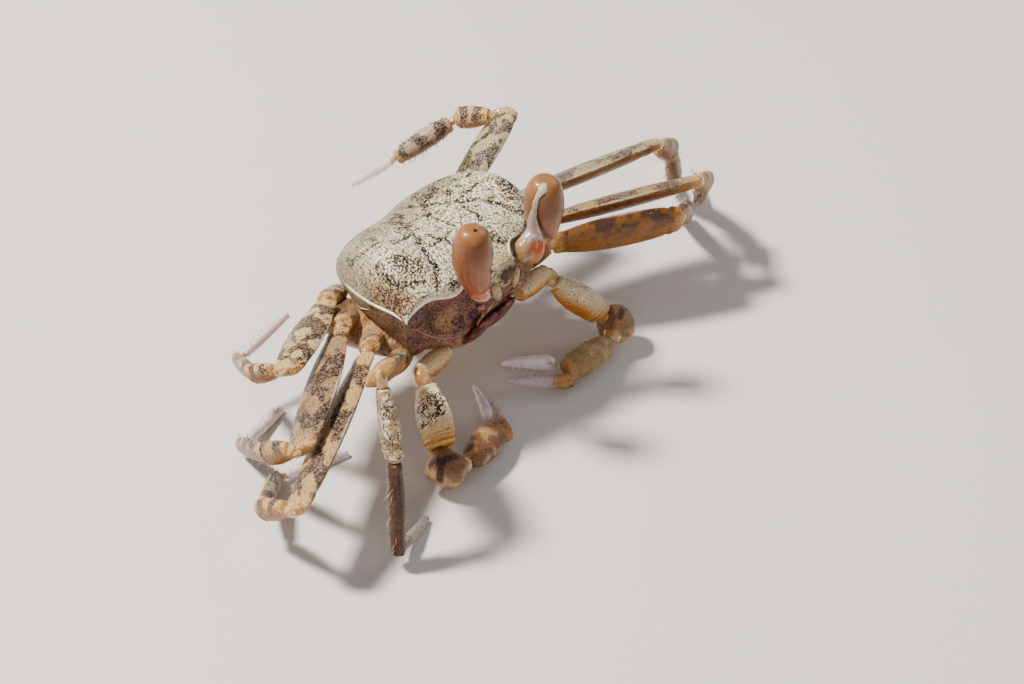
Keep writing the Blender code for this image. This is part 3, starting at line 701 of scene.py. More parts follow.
def paint_shell(shell):
    co, up = points(shell), normals(shell)[:, 2]
    x, y, z = co.T
    ax = np.abs(x)
    brow_at = np.interp(ax, *np.array(BROW[4:]).T[[0, 2]])
    over_brow = ramp(z - brow_at, -0.03, 0.05) * ramp(-y, 3.2, 3.5) * ramp(ax, 3.3, 3.7)
    top = np.maximum(ramp(up, 0.1, 0.5), over_brow)
    patchy, broad, fine = cloud(co, 1.3, 3.0), cloud(co, 2.6, 9.0), cloud(co, 0.55, 1.0)

    # top: sand in the middle, olive to the rear and sides, with dark marks and grooves
    tint = blend("sand", "olive", ramp(y, -0.6, 4.0) * 0.8 + ramp(ax, 5.4, 6.8) * 0.3 + (broad - 0.5) * 0.8)
    tint = blend(tint, (206, 194, 164), ramp(-y, 0.2, 2.6) * ramp(-ax, -5.2, -2.4) * 0.6)
    middle_front = ramp(-y, 2.9, 4.0) * ramp(-ax, -4.2, -3.0)
    tint = blend(tint, (156, 150, 106), middle_front * 0.85)
    by_side = ramp(ax, 5.9, 6.7) * ramp(-y, -0.6, 1.4) * ramp(-z, -2.2, -1.0)
    ink = 0.38 + ramp(fine * 0.5 + patchy * 0.5, 0.52, 0.64) * 0.62 * ramp(y, -2.2, 1.0) + by_side * 0.4
    chalk = 0.95 * ramp(-y, -2.5, 0.8) * ramp(-ax, -6.9, -5.6) * (1 - 0.5 * middle_front) + 0.15
    marks = SHELL_MARKS + ((GROOVE, 0.3, 1.15, True),)
    for line, reach, depth, both in marks:
        for side in (1, -1) if both else (1,):
            ink = np.maximum(ink, depth * bell(above(co, line, side) / reach * (0.75 + 0.5 * fine), 1))
    for side in (1, -1):
        ink = np.maximum(ink, 0.8 * bell(above(co, HEART_GROOVE, side), 0.3))
    tint = blend(tint, (88, 76, 60), ramp(ink, 0.55, 1.0) * 0.5)
    tint = blend(tint, "rust", by_side * (0.35 + 0.45 * patchy))
    for side in (1, -1):
        brow = bell(from_line(co, mirrored(BROW[2:], side)), 0.3)
        tint = blend(tint, "chalk", brow * 0.75)
        ink = ink * (1 - brow)

    # side walls, brown and warmer towards their foot
    wall = blend((112, 82, 50), (76, 48, 30), ramp(patchy, 0.4, 0.7) * 0.9)
    wall = blend(wall, (150, 98, 50), ramp(-z, 1.4, 2.4) * 0.8)
    wall = blend(wall, (142, 126, 96), ramp(y, -0.4, 0.6) * ramp(-y, -3.8, -2.8) * ramp(z, -1.9, -1.2) * 0.7)
    tint = blend(wall, tint, top)
    ink = np.where(top > 0.5, ink, 0.26 + 0.2 * patchy)
    chalk = chalk * top + 0.08

    # front lobe with its dark patch
    front = ramp(-ax, -1.9, -1.4) * ramp(-y, 4.4, 5.0)
    tint = blend(tint, (186, 168, 118), front * 0.85)
    patch = np.exp(-(((x - 0.08) / 0.85) ** 2 + ((z - 0.44) / 0.55) ** 2)) * ramp(-y, 5.1, 5.35)
    tint = blend(tint, (66, 18, 8), ramp(patch + 1.1 * (cloud(co, 0.4, 7.0) - 0.5), 0.36, 0.6) * 0.95)
    ink = swap(ink, 0.34 + 0.45 * ramp(patch, 0.3, 0.6), front)
    chalk = swap(chalk, 0.5 * (1 - ramp(patch, 0.2, 0.5)), front)

    # plum skin below the lobe and round the mouth
    low = ramp(-y, 2.5, 3.2) * ramp(-z, 0.7, 1.0)
    under_lobe = ramp(-((x / 1.32) ** 2 + ((z - 0.14) / 0.86) ** 2), -1.3, -1.1)
    low = np.maximum(low, ramp(-y, 4.2, 4.8) * ramp(-z, 0.1, 0.5) * under_lobe)
    murk = blend((132, 74, 68), (66, 32, 34), ramp(fine, 0.42, 0.62))
    murk = blend(murk, (168, 120, 100), ramp(-z, 2.0, 2.6) * 0.5)
    tint = blend(tint, murk, low * 0.92)
    ink, chalk = swap(ink, 0.45, low), swap(chalk, 0.1, low)

    # painted shade in the notches beside the lobe, dark lines with no cut in the shell; then the speckled hollows of
    # the eye sockets
    for side in (1, -1):
        for line, reach in NOTCH_SHADES:
            notch_shade = ramp(bell(from_line(co, mirrored(line, side)), reach), 0.15, 0.6)
            # painted shade: each notch gap is painted nearly black
            tint = blend(tint, (44, 22, 22), notch_shade * 0.95)
            chalk = chalk * (1 - notch_shade)
        outside, across, floor = in_socket(co, side)
        above_floor = ramp(-y, 3.3, 3.6) * ramp(z - floor, -0.06, 0.06) * (across > -0.8)
        inside = np.maximum(ramp(-outside, -1.08, -1.03), above_floor)
        inside = inside * (x * side > 1.3) * ramp(brow_at - z, -0.02, 0.06) * (across < 1.02)
        hollow = blend((116, 60, 46), (60, 22, 16), ramp(fine, 0.42, 0.62) * 0.9)
        hollow = blend(hollow, (122, 70, 58), ramp(z, -0.5, 0.5) * ramp(-ax, -5.6, -4.8) * 0.6)
        middle = np.exp(-(((ax - 4.0) / 1.2) ** 2 + ((z + 1.4 + 0.3 * (ax - 4.0)) / 0.95) ** 2))
        hollow = blend(hollow, (146, 106, 62), ramp(middle + 0.25 * (fine - 0.5), 0.15, 0.85) * 0.9)
        spots = np.zeros(len(co))
        for spot_x, spot_z, reach in SOCKET_SPOTS:
            spot = ramp(np.exp(-((ax - spot_x) ** 2 + (z - spot_z) ** 2) / reach ** 2), 0.15, 0.75)
            hollow = blend(hollow, (82, 26, 20), spot * 0.92)
            spots = np.maximum(spots, spot)
        tint = blend(tint, hollow, inside)
        ink, chalk = swap(ink, 0.42 - 0.3 * middle + 0.5 * spots, inside), swap(chalk, 0.1, inside)
    lay(shell, tint, np.clip(ink, 0, 1.1), np.clip(chalk, 0, 1), 1.15)


class CRAB_OT_shell(bpy.types.Operator):
    """Models the shell with its domed top, side walls, bent-down front and two eye sockets"""
    bl_idname = "crab.shell"
    bl_label = "Shell"

    def execute(self, context):
        deselect()
        bpy.ops.mesh.primitive_grid_add(x_subdivisions=96, y_subdivisions=80, size=2)
        shell = context.object
        shell.name = "crab_carapace"
        co = points(shell)
        move_points(shell, shell_point(co[:, 0], (co[:, 1] + 1) / 2))
        self.walls(shell)
        boolean(shell, add_ball("lobe", FRONT_LOBE, LOBE_AT), "UNION")
        self.openings(shell)
        melted(shell, size("shell_cell"), 4)
        co, facing = points(shell), normals(shell)
        depth = np.zeros(len(co))
        for side in (1, -1):
            depth += bell(above(co, GROOVE, side), 0.24)
            depth += 0.6 * bell(above(co, HEART_GROOVE, side), 0.3)
        depth = depth * ramp(facing[:, 2], 0.2, 0.5)
        swell = (cloud(co, 1.1, 5.0) - 0.5) * 0.09 * ramp(facing[:, 2], 0.2, 0.6)
        move_points(shell, co + facing * (swell - depth * size("groove"))[:, None])
        grain(shell, 0.2, size("granule"))
        paint_shell(shell)
        self.rims(shell)
        settle(shell, "shell", "shell", "carapace")
        return {"FINISHED"}

    def walls(self, shell):
        """Draws the shell's edge down in steps and closes it below."""
        bpy.ops.object.mode_set(mode="EDIT")
        bpy.ops.mesh.select_mode(type="EDGE")
        bpy.ops.mesh.select_all(action="DESELECT")
        bpy.ops.mesh.select_non_manifold()
        home = None
        for share, ahead, behind in WALL_STEPS:
            bpy.ops.mesh.extrude_edges_move()
            bpy.ops.object.mode_set(mode="OBJECT")
            chosen = np.zeros(len(shell.data.vertices), bool)
            shell.data.vertices.foreach_get("select", chosen)
            co = points(shell)
            home = co[chosen] if home is None else home
            co[chosen] = wall_point(home, share, ahead, behind)
            move_points(shell, co)
            bpy.ops.object.mode_set(mode="EDIT")
        bpy.ops.mesh.edge_face_add()
        bpy.ops.object.mode_set(mode="OBJECT")
        outward(shell)

    def openings(self, shell):
        """Cuts the two eye sockets and the mouth opening."""
        for side in (1, -1):
            socket = add_ball("socket", (1, 1, 1), turn=96)
            co = points(socket)
            high, low = socket_lids(co[:, 0] * side)
            tall = co[:, 2] / np.sqrt(np.maximum(1 - co[:, 0] ** 2, 1e-6))
            co[:, 2] = (high + low) / 2 + np.clip(tall, -1, 1) * (high - low) / 2
            move_points(socket, co * SOCKET)
            socket.rotation_euler = (0, 0, math.radians(SOCKET_TURN * side))
            socket.location = on_side(SOCKET_AT, side)
            boolean(shell, socket, "DIFFERENCE")
        bpy.ops.mesh.primitive_cube_add(size=2)
        opening = bpy.context.object
        centre = np.array((0, 0.42 - MOUTH_OPENING[1], 0))
        turn = np.array(Matrix.Rotation(math.radians(MOUTH_TILT), 3, "X"))
        move_points(opening, (points(opening) * MOUTH_OPENING + centre) @ turn.T + MOUTH_AT)
        boolean(shell, opening, "DIFFERENCE")

    def rims(self, shell):
        """Brow, side edge, lower socket edge and wall seam, laid on the shell."""
        thick = size("rim")
        edge = [tuple(shell_point(np.array(1.0), np.array(v))) for v in np.linspace(0.0, 0.72, 10)]
        low = []
        for out in np.linspace(0.99, -0.8, 16):
            flat = Vector((out * SOCKET[0], -0.35, 0))
            flat.rotate(Matrix.Rotation(math.radians(SOCKET_TURN), 3, "Z"))
            low.append((SOCKET_AT[0] + flat.x, min(SOCKET_AT[1] + 1.0 + flat.y, -3.5),
                        float(socket_lids(out)[1]) - 0.03))
        for side, label in SIDES:
            for name, line, share, paint in (("brow", BROW, 1, "rim"), ("inner_brow", INNER_BROW, 0.62, "rim"),
                                             ("side_edge", edge, 0.7, "rim"), ("socket_edge", low, 0.45, "low_rim"),
                                             ("wall_seam", WALL_SEAM, 0.35, "rim")):
                line = onto(shell, mirrored(line, side), thick * share * 0.35)
                settle(bead(f"{label}_{name}", line, thick * share), paint, "shell")


# ---- limbs -----------------------------------------------------------------------------------
def limb_frame(node, before=None, after=None):
    """Foot, length and the broad, thin and long directions of a limb piece, read from its solid."""
    pts = solid_points(node)
    centre = pts.mean(0)
    _, axes = np.linalg.eigh(np.cov((pts - centre).T))
    long, broad = axes[:, 2], axes[:, 1]
    reach = (pts - centre) @ long
    ends = [centre + long * reach.min(), centre + long * reach.max()]

    def gap(end, other):
        return np.linalg.norm(solid_points(other) - end, axis=1).min()

    turned = gap(ends[0], after) < gap(ends[1], after) if after else gap(ends[1], before) < gap(ends[0], before)
    if turned:
        long, ends = -long, ends[::-1]
    if broad[2] < 0:
        broad = -broad
    return ends[0], reach.max() - reach.min(), np.stack([broad, np.cross(long, broad), long], 1)


def limb_shape(node, name, place, levels=3, fuller=1.09, crease=0.0, rings=()):
    """Limb piece grown from its solid: fuller section, sharper upper and lower edge, raised rings."""
    foot, span, turn = place
    made = solid_copy(node, name)
    co = (points(made) - foot) @ turn
    co[:, :2] *= fuller
    half = np.abs(co[:, :2]).max(0)
    move_points(made, co)
    if crease:
        ends = [[co[v] for v in edge.vertices] for edge in made.data.edges]
        sharp = made.data.attributes.new("crease_edge", "FLOAT", "EDGE")
        sharp.data.foreach_set("value", [crease if abs(a[1]) < 0.1 and abs(b[1]) < 0.1 and a[0] * b[0] > 0 else 0.0
                                         for a, b in ends])
    rounded(made, levels)
    local = points(made)
    local[:, 2] *= span / (local[:, 2].max() - local[:, 2].min())
    local[:, 2] -= local[:, 2].min()
    share = local[:, 2] / span
    local[:, :2] *= (1 + 0.3 * bell(share, 0.05) + 0.34 * bell(share - 1, 0.05))[:, None]
    for at, width, height in rings:
        local[:, :2] *= (1 + height * bell(share - at, width))[:, None]
    move_points(made, local @ turn.T + foot)
    return made, np.stack([local[:, 0] / half[0], local[:, 1] / half[1], share], 1)


def bands(share, across, marks, seed):
    """Dark cross bands along a piece, with a wavering course."""
    out = np.zeros(len(share))
    for k, (at, half, strength) in enumerate(marks):
        course = share + 0.06 * np.sin(across * (2.3 + 0.7 * k) + seed + k * 2.1)
        out = np.maximum(out, strength * ramp(-np.abs(course - at), -half * 1.3, -half * 0.7))
    return out


GROWN = {}


def grown(name):
    """Place and mesh of a limb piece that an earlier step has made."""
    if name not in GROWN:
        raise RuntimeError(f"{name} isn't there yet: run Legs and Claws first")
    return GROWN[name]


def paint_limb(thing, local, part, leg, seed):
    across, _, share = local.T
    facing, co = normals(thing), points(thing)
    # painted light and shade: light is how far each point faces up; dark marks and pale grains keep mostly to the
    # lit faces
    light = ramp(facing[:, 2], -0.3, 0.3)
    patchy, fine = cloud(co, 0.6, seed), cloud(co, 0.28, seed + 2.0)
    cream = hue(LEG_TOPS[leg] if leg in LEG_TOPS and part != "propodus" else "cream")
    top = blend(cream, cream * 0.72, ramp(patchy, 0.45, 0.7) * 0.5)
    under = blend("amber", (112, 80, 44), ramp(fine, 0.4, 0.7) * 0.8)
    if part in ("carpus", "base"):
        top = blend(top, (206, 156, 96) if part == "carpus" else (142, 104, 62), 0.3 + 0.45 * patchy)
    if part == "propodus":
        top = blend(top, (150, 134, 128), 0.35 + 0.3 * patchy)
        under = blend(under, (128, 106, 92), 0.6)
    # painted light and shade: lit upper faces take the top tone and shaded lower faces the amber, over the real
    # difference between upper and lower faces
    tint = blend(under, top, light)
    dark_bands = bands(share, across, BANDS[part], seed)
    dark = ramp(dark_bands * 0.5 + patchy + 0.35 * (fine - 0.5), 0.62, 0.82) * (0.2 + 0.8 * light)
    tint = blend(tint, (70, 44, 40), dark * 0.8)
    if part in ("merus", "base"):
        keel = ramp(np.abs(across), 0.88, 0.98) * ramp(share, 0.05, 0.15) * ramp(-share, -0.97, -0.85)
        tint = blend(tint, (218, 208, 184), keel * 0.8)
        dark = dark * (1 - keel * 0.8)
    ends = ramp(share, 0.9, 0.98) + ramp(-share, -0.1, -0.03)
    tint = blend(tint, (206, 160, 98), ends * 0.7)
    dark = dark * (1 - 0.6 * ends)
    # painted shade: the right second leg's propodus and dactyl lie in the body's shadow and are painted dark brown;
    # the dactyl is lifted pale, partly its own colour and partly painted highlight
    if leg == "right_leg_2" and part in ("propodus", "dactyl"):
        tint = blend((84, 54, 34), (60, 36, 22), ramp(fine, 0.4, 0.6))
        tint = blend(tint, (196, 186, 182), 0.6 * (part == "dactyl"))
    if leg.startswith("left") and leg != "left_leg_5":
        dark = dark * 0.35 - 0.08
    pale = 0.0 if leg in ("left_leg_2", "right_leg_2") else 0.14
    if leg == "right_leg_2" and part == "carpus":
        tint = blend(tint, (168, 150, 122), 0.6)
        pale, dark = 0.7 * ramp(patchy, 0.4, 0.5), np.maximum(dark, 0.7 * ramp(fine, 0.4, 0.55))
    lay(thing, tint, np.clip(dark * 0.6 + 0.1, 0, 1.1), pale * light, 1.15)


class CRAB_OT_legs(bpy.types.Operator):
    """Grows the eight walking legs from their solids, flattened and keeled, with banded colours"""
    bl_idname = "crab.legs"
    bl_label = "Walking legs"

    def execute(self, context):
        for count, leg in enumerate(LEGS):
            solids = [None, *(f"{leg}_{part}" for part in SEGMENTS), None]
            for k, part in enumerate(SEGMENTS):
                before, solid, after = solids[k:k + 3]
                place = limb_frame(solid, before, after)
                piece, local = limb_shape(solid, "crab_" + solid, place, 4 if part in ("merus", "carpus") else 3,
                                          1.32 if part == "base" else 1.09, CREASES.get(part, 0.0), RINGS[part])
                grain(piece, 0.16, 0.03 if part != "dactyl" else 0.012)
                GROWN[solid] = (place, piece)
                if part == "dactyl" and leg != "right_leg_2":
                    lay(piece, "lilac", rich=1.3)
                    settle(piece, "toe", "toe", solid)
                else:
                    paint_limb(piece, local, part, leg, count * 3.1 + k)
                    settle(piece, "limb", "leg", solid)
        return {"FINISHED"}


def ringed_rod(name, start, span, width, profile, turn, bow=0.0, around=24):
    """Closed oval rod from a cylinder cut into rings, each ring scaled to the profile."""
    deselect()
    bpy.ops.mesh.primitive_cylinder_add(vertices=around, radius=1, depth=1, location=(0, 0, 0.5),
                                        end_fill_type="NGON")
    made = bpy.context.object
    made.name = name
    bpy.ops.object.transform_apply(location=True)
    cut_rings(made, np.linspace(0.04, 0.96, 24))
    co = points(made)
    share = co[:, 2].copy()
    full = smooth_read(profile, share) / 2
    co[:, 0] = co[:, 0] * full * width[0] + bow * np.sin(math.pi * share)
    co[:, 1] = co[:, 1] * full * width[1]
    co[:, 2] = share * span
    move_points(made, co @ np.array(turn).T + np.array(start))
    return made


def joint_skin(width, reach, middle, way):
    """Soft skin of one joint: a grained oval drawn out along the joint."""
    skin = add_ball("skin", (width, width, reach), across=28, rings=20)
    return grain(point_along(skin, middle, way), 0.25, 0.06)


def settle_skins(skins, name, slot):
    skin = join(*skins)
    skin.name = name
    settle(skin, "joint", slot)


class CRAB_OT_claws(bpy.types.Operator):
    """Grows the two claws: arm, wrist, swollen palm with its fixed finger, and the moving finger"""
    bl_idname = "crab.claws"
    bl_label = "Claws"

    def execute(self, context):
        for side, label in SIDES:
            for part, after, crease, rings in (("base", "merus", 0.0, ()), ("merus", "carpus", 0.5, ARM_RINGS)):
                solid = f"{label}_claw_{part}"
                place = limb_frame(solid, after=f"{label}_claw_{after}")
                piece, local = limb_shape(solid, "crab_" + solid, place, 4, crease=crease, rings=rings)
                grain(piece, 0.18, 0.035)
                GROWN[solid] = (place, piece)
                self.paint_arm(piece, local, part, side)
                settle(piece, "limb", "claw", solid)
            self.wrist(side, label)
            self.hand(side, label)
        return {"FINISHED"}

    def paint_arm(self, piece, local, part, side):
        across, _, share = local.T
        co, facing = points(piece), normals(piece)
        light = ramp(facing[:, 2], -0.4, 0.3)
        patchy = cloud(co, 0.5, 4.0 + side)
        # painted light and shade: upper faces pale and lower faces amber, partly the arm's own two tones and partly
        # painted light and shade
        tint = blend((176, 118, 64), (214, 194, 160), light)
        dark = np.full(len(co), 0.12)
        if part == "merus":
            saddle = ramp(-np.abs(share - 0.42 + 0.1 * across), -0.3, -0.18)
            dark = saddle * (0.4 + 0.6 * ramp(patchy, 0.35, 0.5)) * light
            keel = ramp(np.abs(across), 0.86, 0.97)
            tint = blend(tint, (222, 212, 190), keel * 0.8)
            tint = blend(tint, (150, 86, 46), ramp(-np.abs(share - 0.9), -0.045, -0.02) * 0.8)
            tint = blend(tint, (198, 150, 92), ramp(share, 0.7, 0.82) * 0.5)
            dark = dark * (1 - keel)
            # painted light: the left arm's upward faces are painted paler still
            if side > 0:
                tint = blend(tint, (216, 206, 182), light * 0.5)
                dark = dark * 0.3
        lay(piece, tint, np.clip(dark, 0, 1), (0.95 * ramp(dark, 0.1, 0.5) + 0.05) * light, 1.4)

    def wrist(self, side, label):
        """Stout wrist with a forked dark mark, pale warts and its two joint skins."""
        centre, palm_end = Vector(on_side(CLAW_CARPUS_AT, side)), Vector(on_side(PALM_START, side))
        foot, span, turn = grown(f"{label}_claw_merus")[0]
        arm_end = Vector(foot + turn[:, 2] * span)
        long = (palm_end - arm_end).normalized()
        out = (centre - (arm_end + palm_end) / 2).normalized()
        wide = long.cross(out).normalized()
        out = wide.cross(long)
        piece = add_ball(f"crab_{label}_claw_carpus", (1, 1, 1))
        unit = points(piece)
        full = 1 / (np.abs(unit) ** 2.7).sum(1) ** (1 / 2.7)
        local = unit * full[:, None] * CLAW_CARPUS
        local[:, 0] *= 1 + 0.12 * unit[:, 2]
        local += unit * (0.07 * (cloud(local, 0.35, 2.0) - 0.5) + 0.06 * bell(unit[:, 2] + 0.72, 0.1))[:, None]
        move_points(piece, local @ np.array((tuple(wide), tuple(out), tuple(long))) + np.array(centre))
        outward(grain(piece, 0.2, 0.04))
        co, facing = points(piece) - np.array(centre), normals(piece)
        low = ramp(-facing[:, 2], -0.6, 0.2)
        fine, patchy = cloud(co, 0.25, 3.0), cloud(co, 0.6, 5.0)
        near = np.minimum(*(from_line(co, mirrored(line, side)) for line in WRIST_FORK))
        mark = ramp(-near - 0.1 * (fine - 0.5), -0.3, -0.2)
        # painted light and shade: the tone follows the way each face points, and as written the downward faces get
        # the paler tone, with the pale warts and dark patches kept to them
        tint = blend((132, 96, 66), (182, 146, 106), low)
        tint = blend(tint, (206, 176, 126), ramp(patchy, 0.55, 0.65) * 0.7 * low)
        tint = blend(tint, (110, 76, 48), ramp(-patchy, -0.44, -0.36) * 0.6 * low)
        tint = blend(tint, (62, 38, 28), mark * 0.85)
        lay(piece, tint, np.clip(0.1 + 0.7 * mark, 0, 1), 0.0, 1.05)
        settle(piece, "limb", "claw", f"{label}_claw_carpus")
        skins = [joint_skin(WRIST_SKIN, (end - centre).length * 0.42, end.lerp(centre, 0.35), end - centre)
                 for end in (arm_end, palm_end)]
        settle_skins(skins, f"{label}_wrist_skins", "claw")

    def hand(self, side, label):
        """Palm with its fixed finger, melted into one, and the moving finger beside it."""
        start, end, spread, begin = (Vector(on_side(place, side))
                                     for place in (PALM_START, PALM_END, THUMB_OFFSET, FINGER_START))
        axis, span, apart = (end - start).normalized(), (end - start).length, spread.normalized() * 0.3
        broad = (spread - axis * spread.dot(axis)).normalized()
        turn = Matrix((broad, axis.cross(broad), axis)).transposed()
        palm = ringed_rod(f"crab_{label}_claw_palm", start, span, PALM_SIZE, PALM_PROFILE, turn, around=32)
        heading = math.radians(FINGER_HEADING * side)
        ahead = Vector((math.sin(heading), -math.cos(heading), 0))
        flat = Vector((-ahead.y, ahead.x, 0)).normalized()
        up = ahead.cross(flat).normalized()
        finger_turn = Matrix((up, ahead.cross(up), ahead)).transposed()
        fixed_at, fixed_length = begin + spread - ahead * 0.5 - axis * 0.9, FINGER_LENGTH + FIXED_EXTRA
        fixed = ringed_rod("fixed", fixed_at, fixed_length, FINGER_WIDTH, FINGER_PROFILE, finger_turn, -0.1)
        join(fixed, *(self.tooth(fixed_at + ahead * fixed_length * share - apart, -spread, 0.16)
                      for share in FIXED_TEETH))
        join(palm, fixed)
        melted(palm, 0.06, 5)
        grain(palm, 0.16, 0.035)
        co, facing = points(palm), normals(palm)
        light = ramp(facing[:, 2], -0.5, 0.3)
        patchy = cloud(co, 0.6, 8.0 * side)
        along = (co - np.array(start)) @ np.array(axis) / span
        finger = ramp((co - np.array(fixed_at)) @ np.array(ahead), 0.9, 2.0)
        low = ramp((co - np.array(start)) @ np.array(broad), 0.5, 1.1)
        # painted shade: the palm is painted dark brown for the shade it lies in, lighter on upward faces as painted
        # light; the left claw's palm is lifted paler
        tint = blend((96, 60, 44), (134, 96, 66), light * 0.6 + 0.3 * patchy)
        tint = blend(tint, (182, 156, 110), 0.6 * (side > 0))
        tint = blend(tint, (200, 172, 130), ramp(patchy, 0.46, 0.72) * 0.6)
        tint = blend(tint, (196, 140, 84), ramp(along, 0.85, 1.0) * 0.6 * (1 - finger))
        tint = blend(tint, "lilac", finger)
        dark = ramp(-patchy, -0.45, -0.33) * low * 0.9 + 0.12
        lay(palm, tint, dark * (1 - finger), 0.0, 1.1)
        settle(palm, "limb", "claw", f"{label}_claw_palm")
        moving = ringed_rod(f"crab_{label}_claw_dactyl", begin, FINGER_LENGTH, FINGER_WIDTH, FINGER_PROFILE,
                            finger_turn, 0.1)
        join(moving, *(self.tooth(begin + ahead * FINGER_LENGTH * share + apart, spread, 0.13)
                       for share in MOVING_TEETH))
        melted(moving, 0.05, 5)
        grain(moving, 0.12, 0.015)
        lay(moving, "lilac")
        settle(moving, "toe", "claw", f"{label}_claw_dactyl")

    def tooth(self, at, way, height):
        deselect()
        bpy.ops.mesh.primitive_cone_add(vertices=10, radius1=height * 0.8, radius2=height * 0.15, depth=height * 2)
        way = way.normalized()
        return point_along(bpy.context.object, at + way * height * 0.6, way)


class CRAB_OT_joints(bpy.types.Operator):
    """Fills each bent joint with its soft amber skin"""
    bl_idname = "crab.joints"
    bl_label = "Joint skins"

    def execute(self, context):
        chains = [[f"{leg}_{part}" for part in SEGMENTS] for leg in LEGS]
        chains += [[f"{label}_claw_{part}" for part in ("base", "merus")] for _, label in SIDES]
        for chain in chains:
            skins = []
            for first, second in zip(chain, chain[1:]):
                (foot, span, turn), (next_foot, _, next_turn) = grown(first)[0], grown(second)[0]
                end = foot + turn[:, 2] * span
                gap = np.linalg.norm(end - next_foot)
                width = max(0.22, min(np.ptp((solid_points(second) - next_foot) @ next_turn, axis=0)[:2]) * 0.3)
                way = Vector(next_foot - end if gap > 0.05 else turn[:, 2])
                skins.append(joint_skin(width, gap / 2 + width * 0.6, (end + next_foot) / 2, way))
            settle_skins(skins, chain[0].rsplit("_", 1)[0] + "_joint_skins", "leg")
        return {"FINISHED"}


# ---- eyes and face ---------------------------------------------------------------------------
def eye_profile(height):
    """Half width of an eye from its foot (-1) to its top (1): full above, slimmer below."""
    above, below = ((1 - np.abs(height) ** power) ** (1 / power) for power in (3, 2.3))
    return np.maximum(np.where(height > 0, above, below), 1e-3) * (1 - 0.11 * ramp(-height, -0.15, 0.4))


def eye_strip(side, eye):
    """Course of the pale strip that the stalk sends up the inner side of an eye."""
    heights = np.array(STRIP_HEIGHTS)
    turned = 2.95 + 0.4 * ramp(heights, -0.9, 0.9) + eye["bend"] * ramp(heights, 0.6, 1.0)
    reach = CORNEA_RADIUS * eye_profile(heights) - 0.8 * np.array(STRIP_WIDTHS)
    return np.stack([(EYE_CENTRE[0] + reach * np.cos(turned)) * side, EYE_CENTRE[1] + reach * np.sin(turned),
                     EYE_CENTRE[2] - eye["lower"] + CORNEA_HALF * heights], 1).tolist()


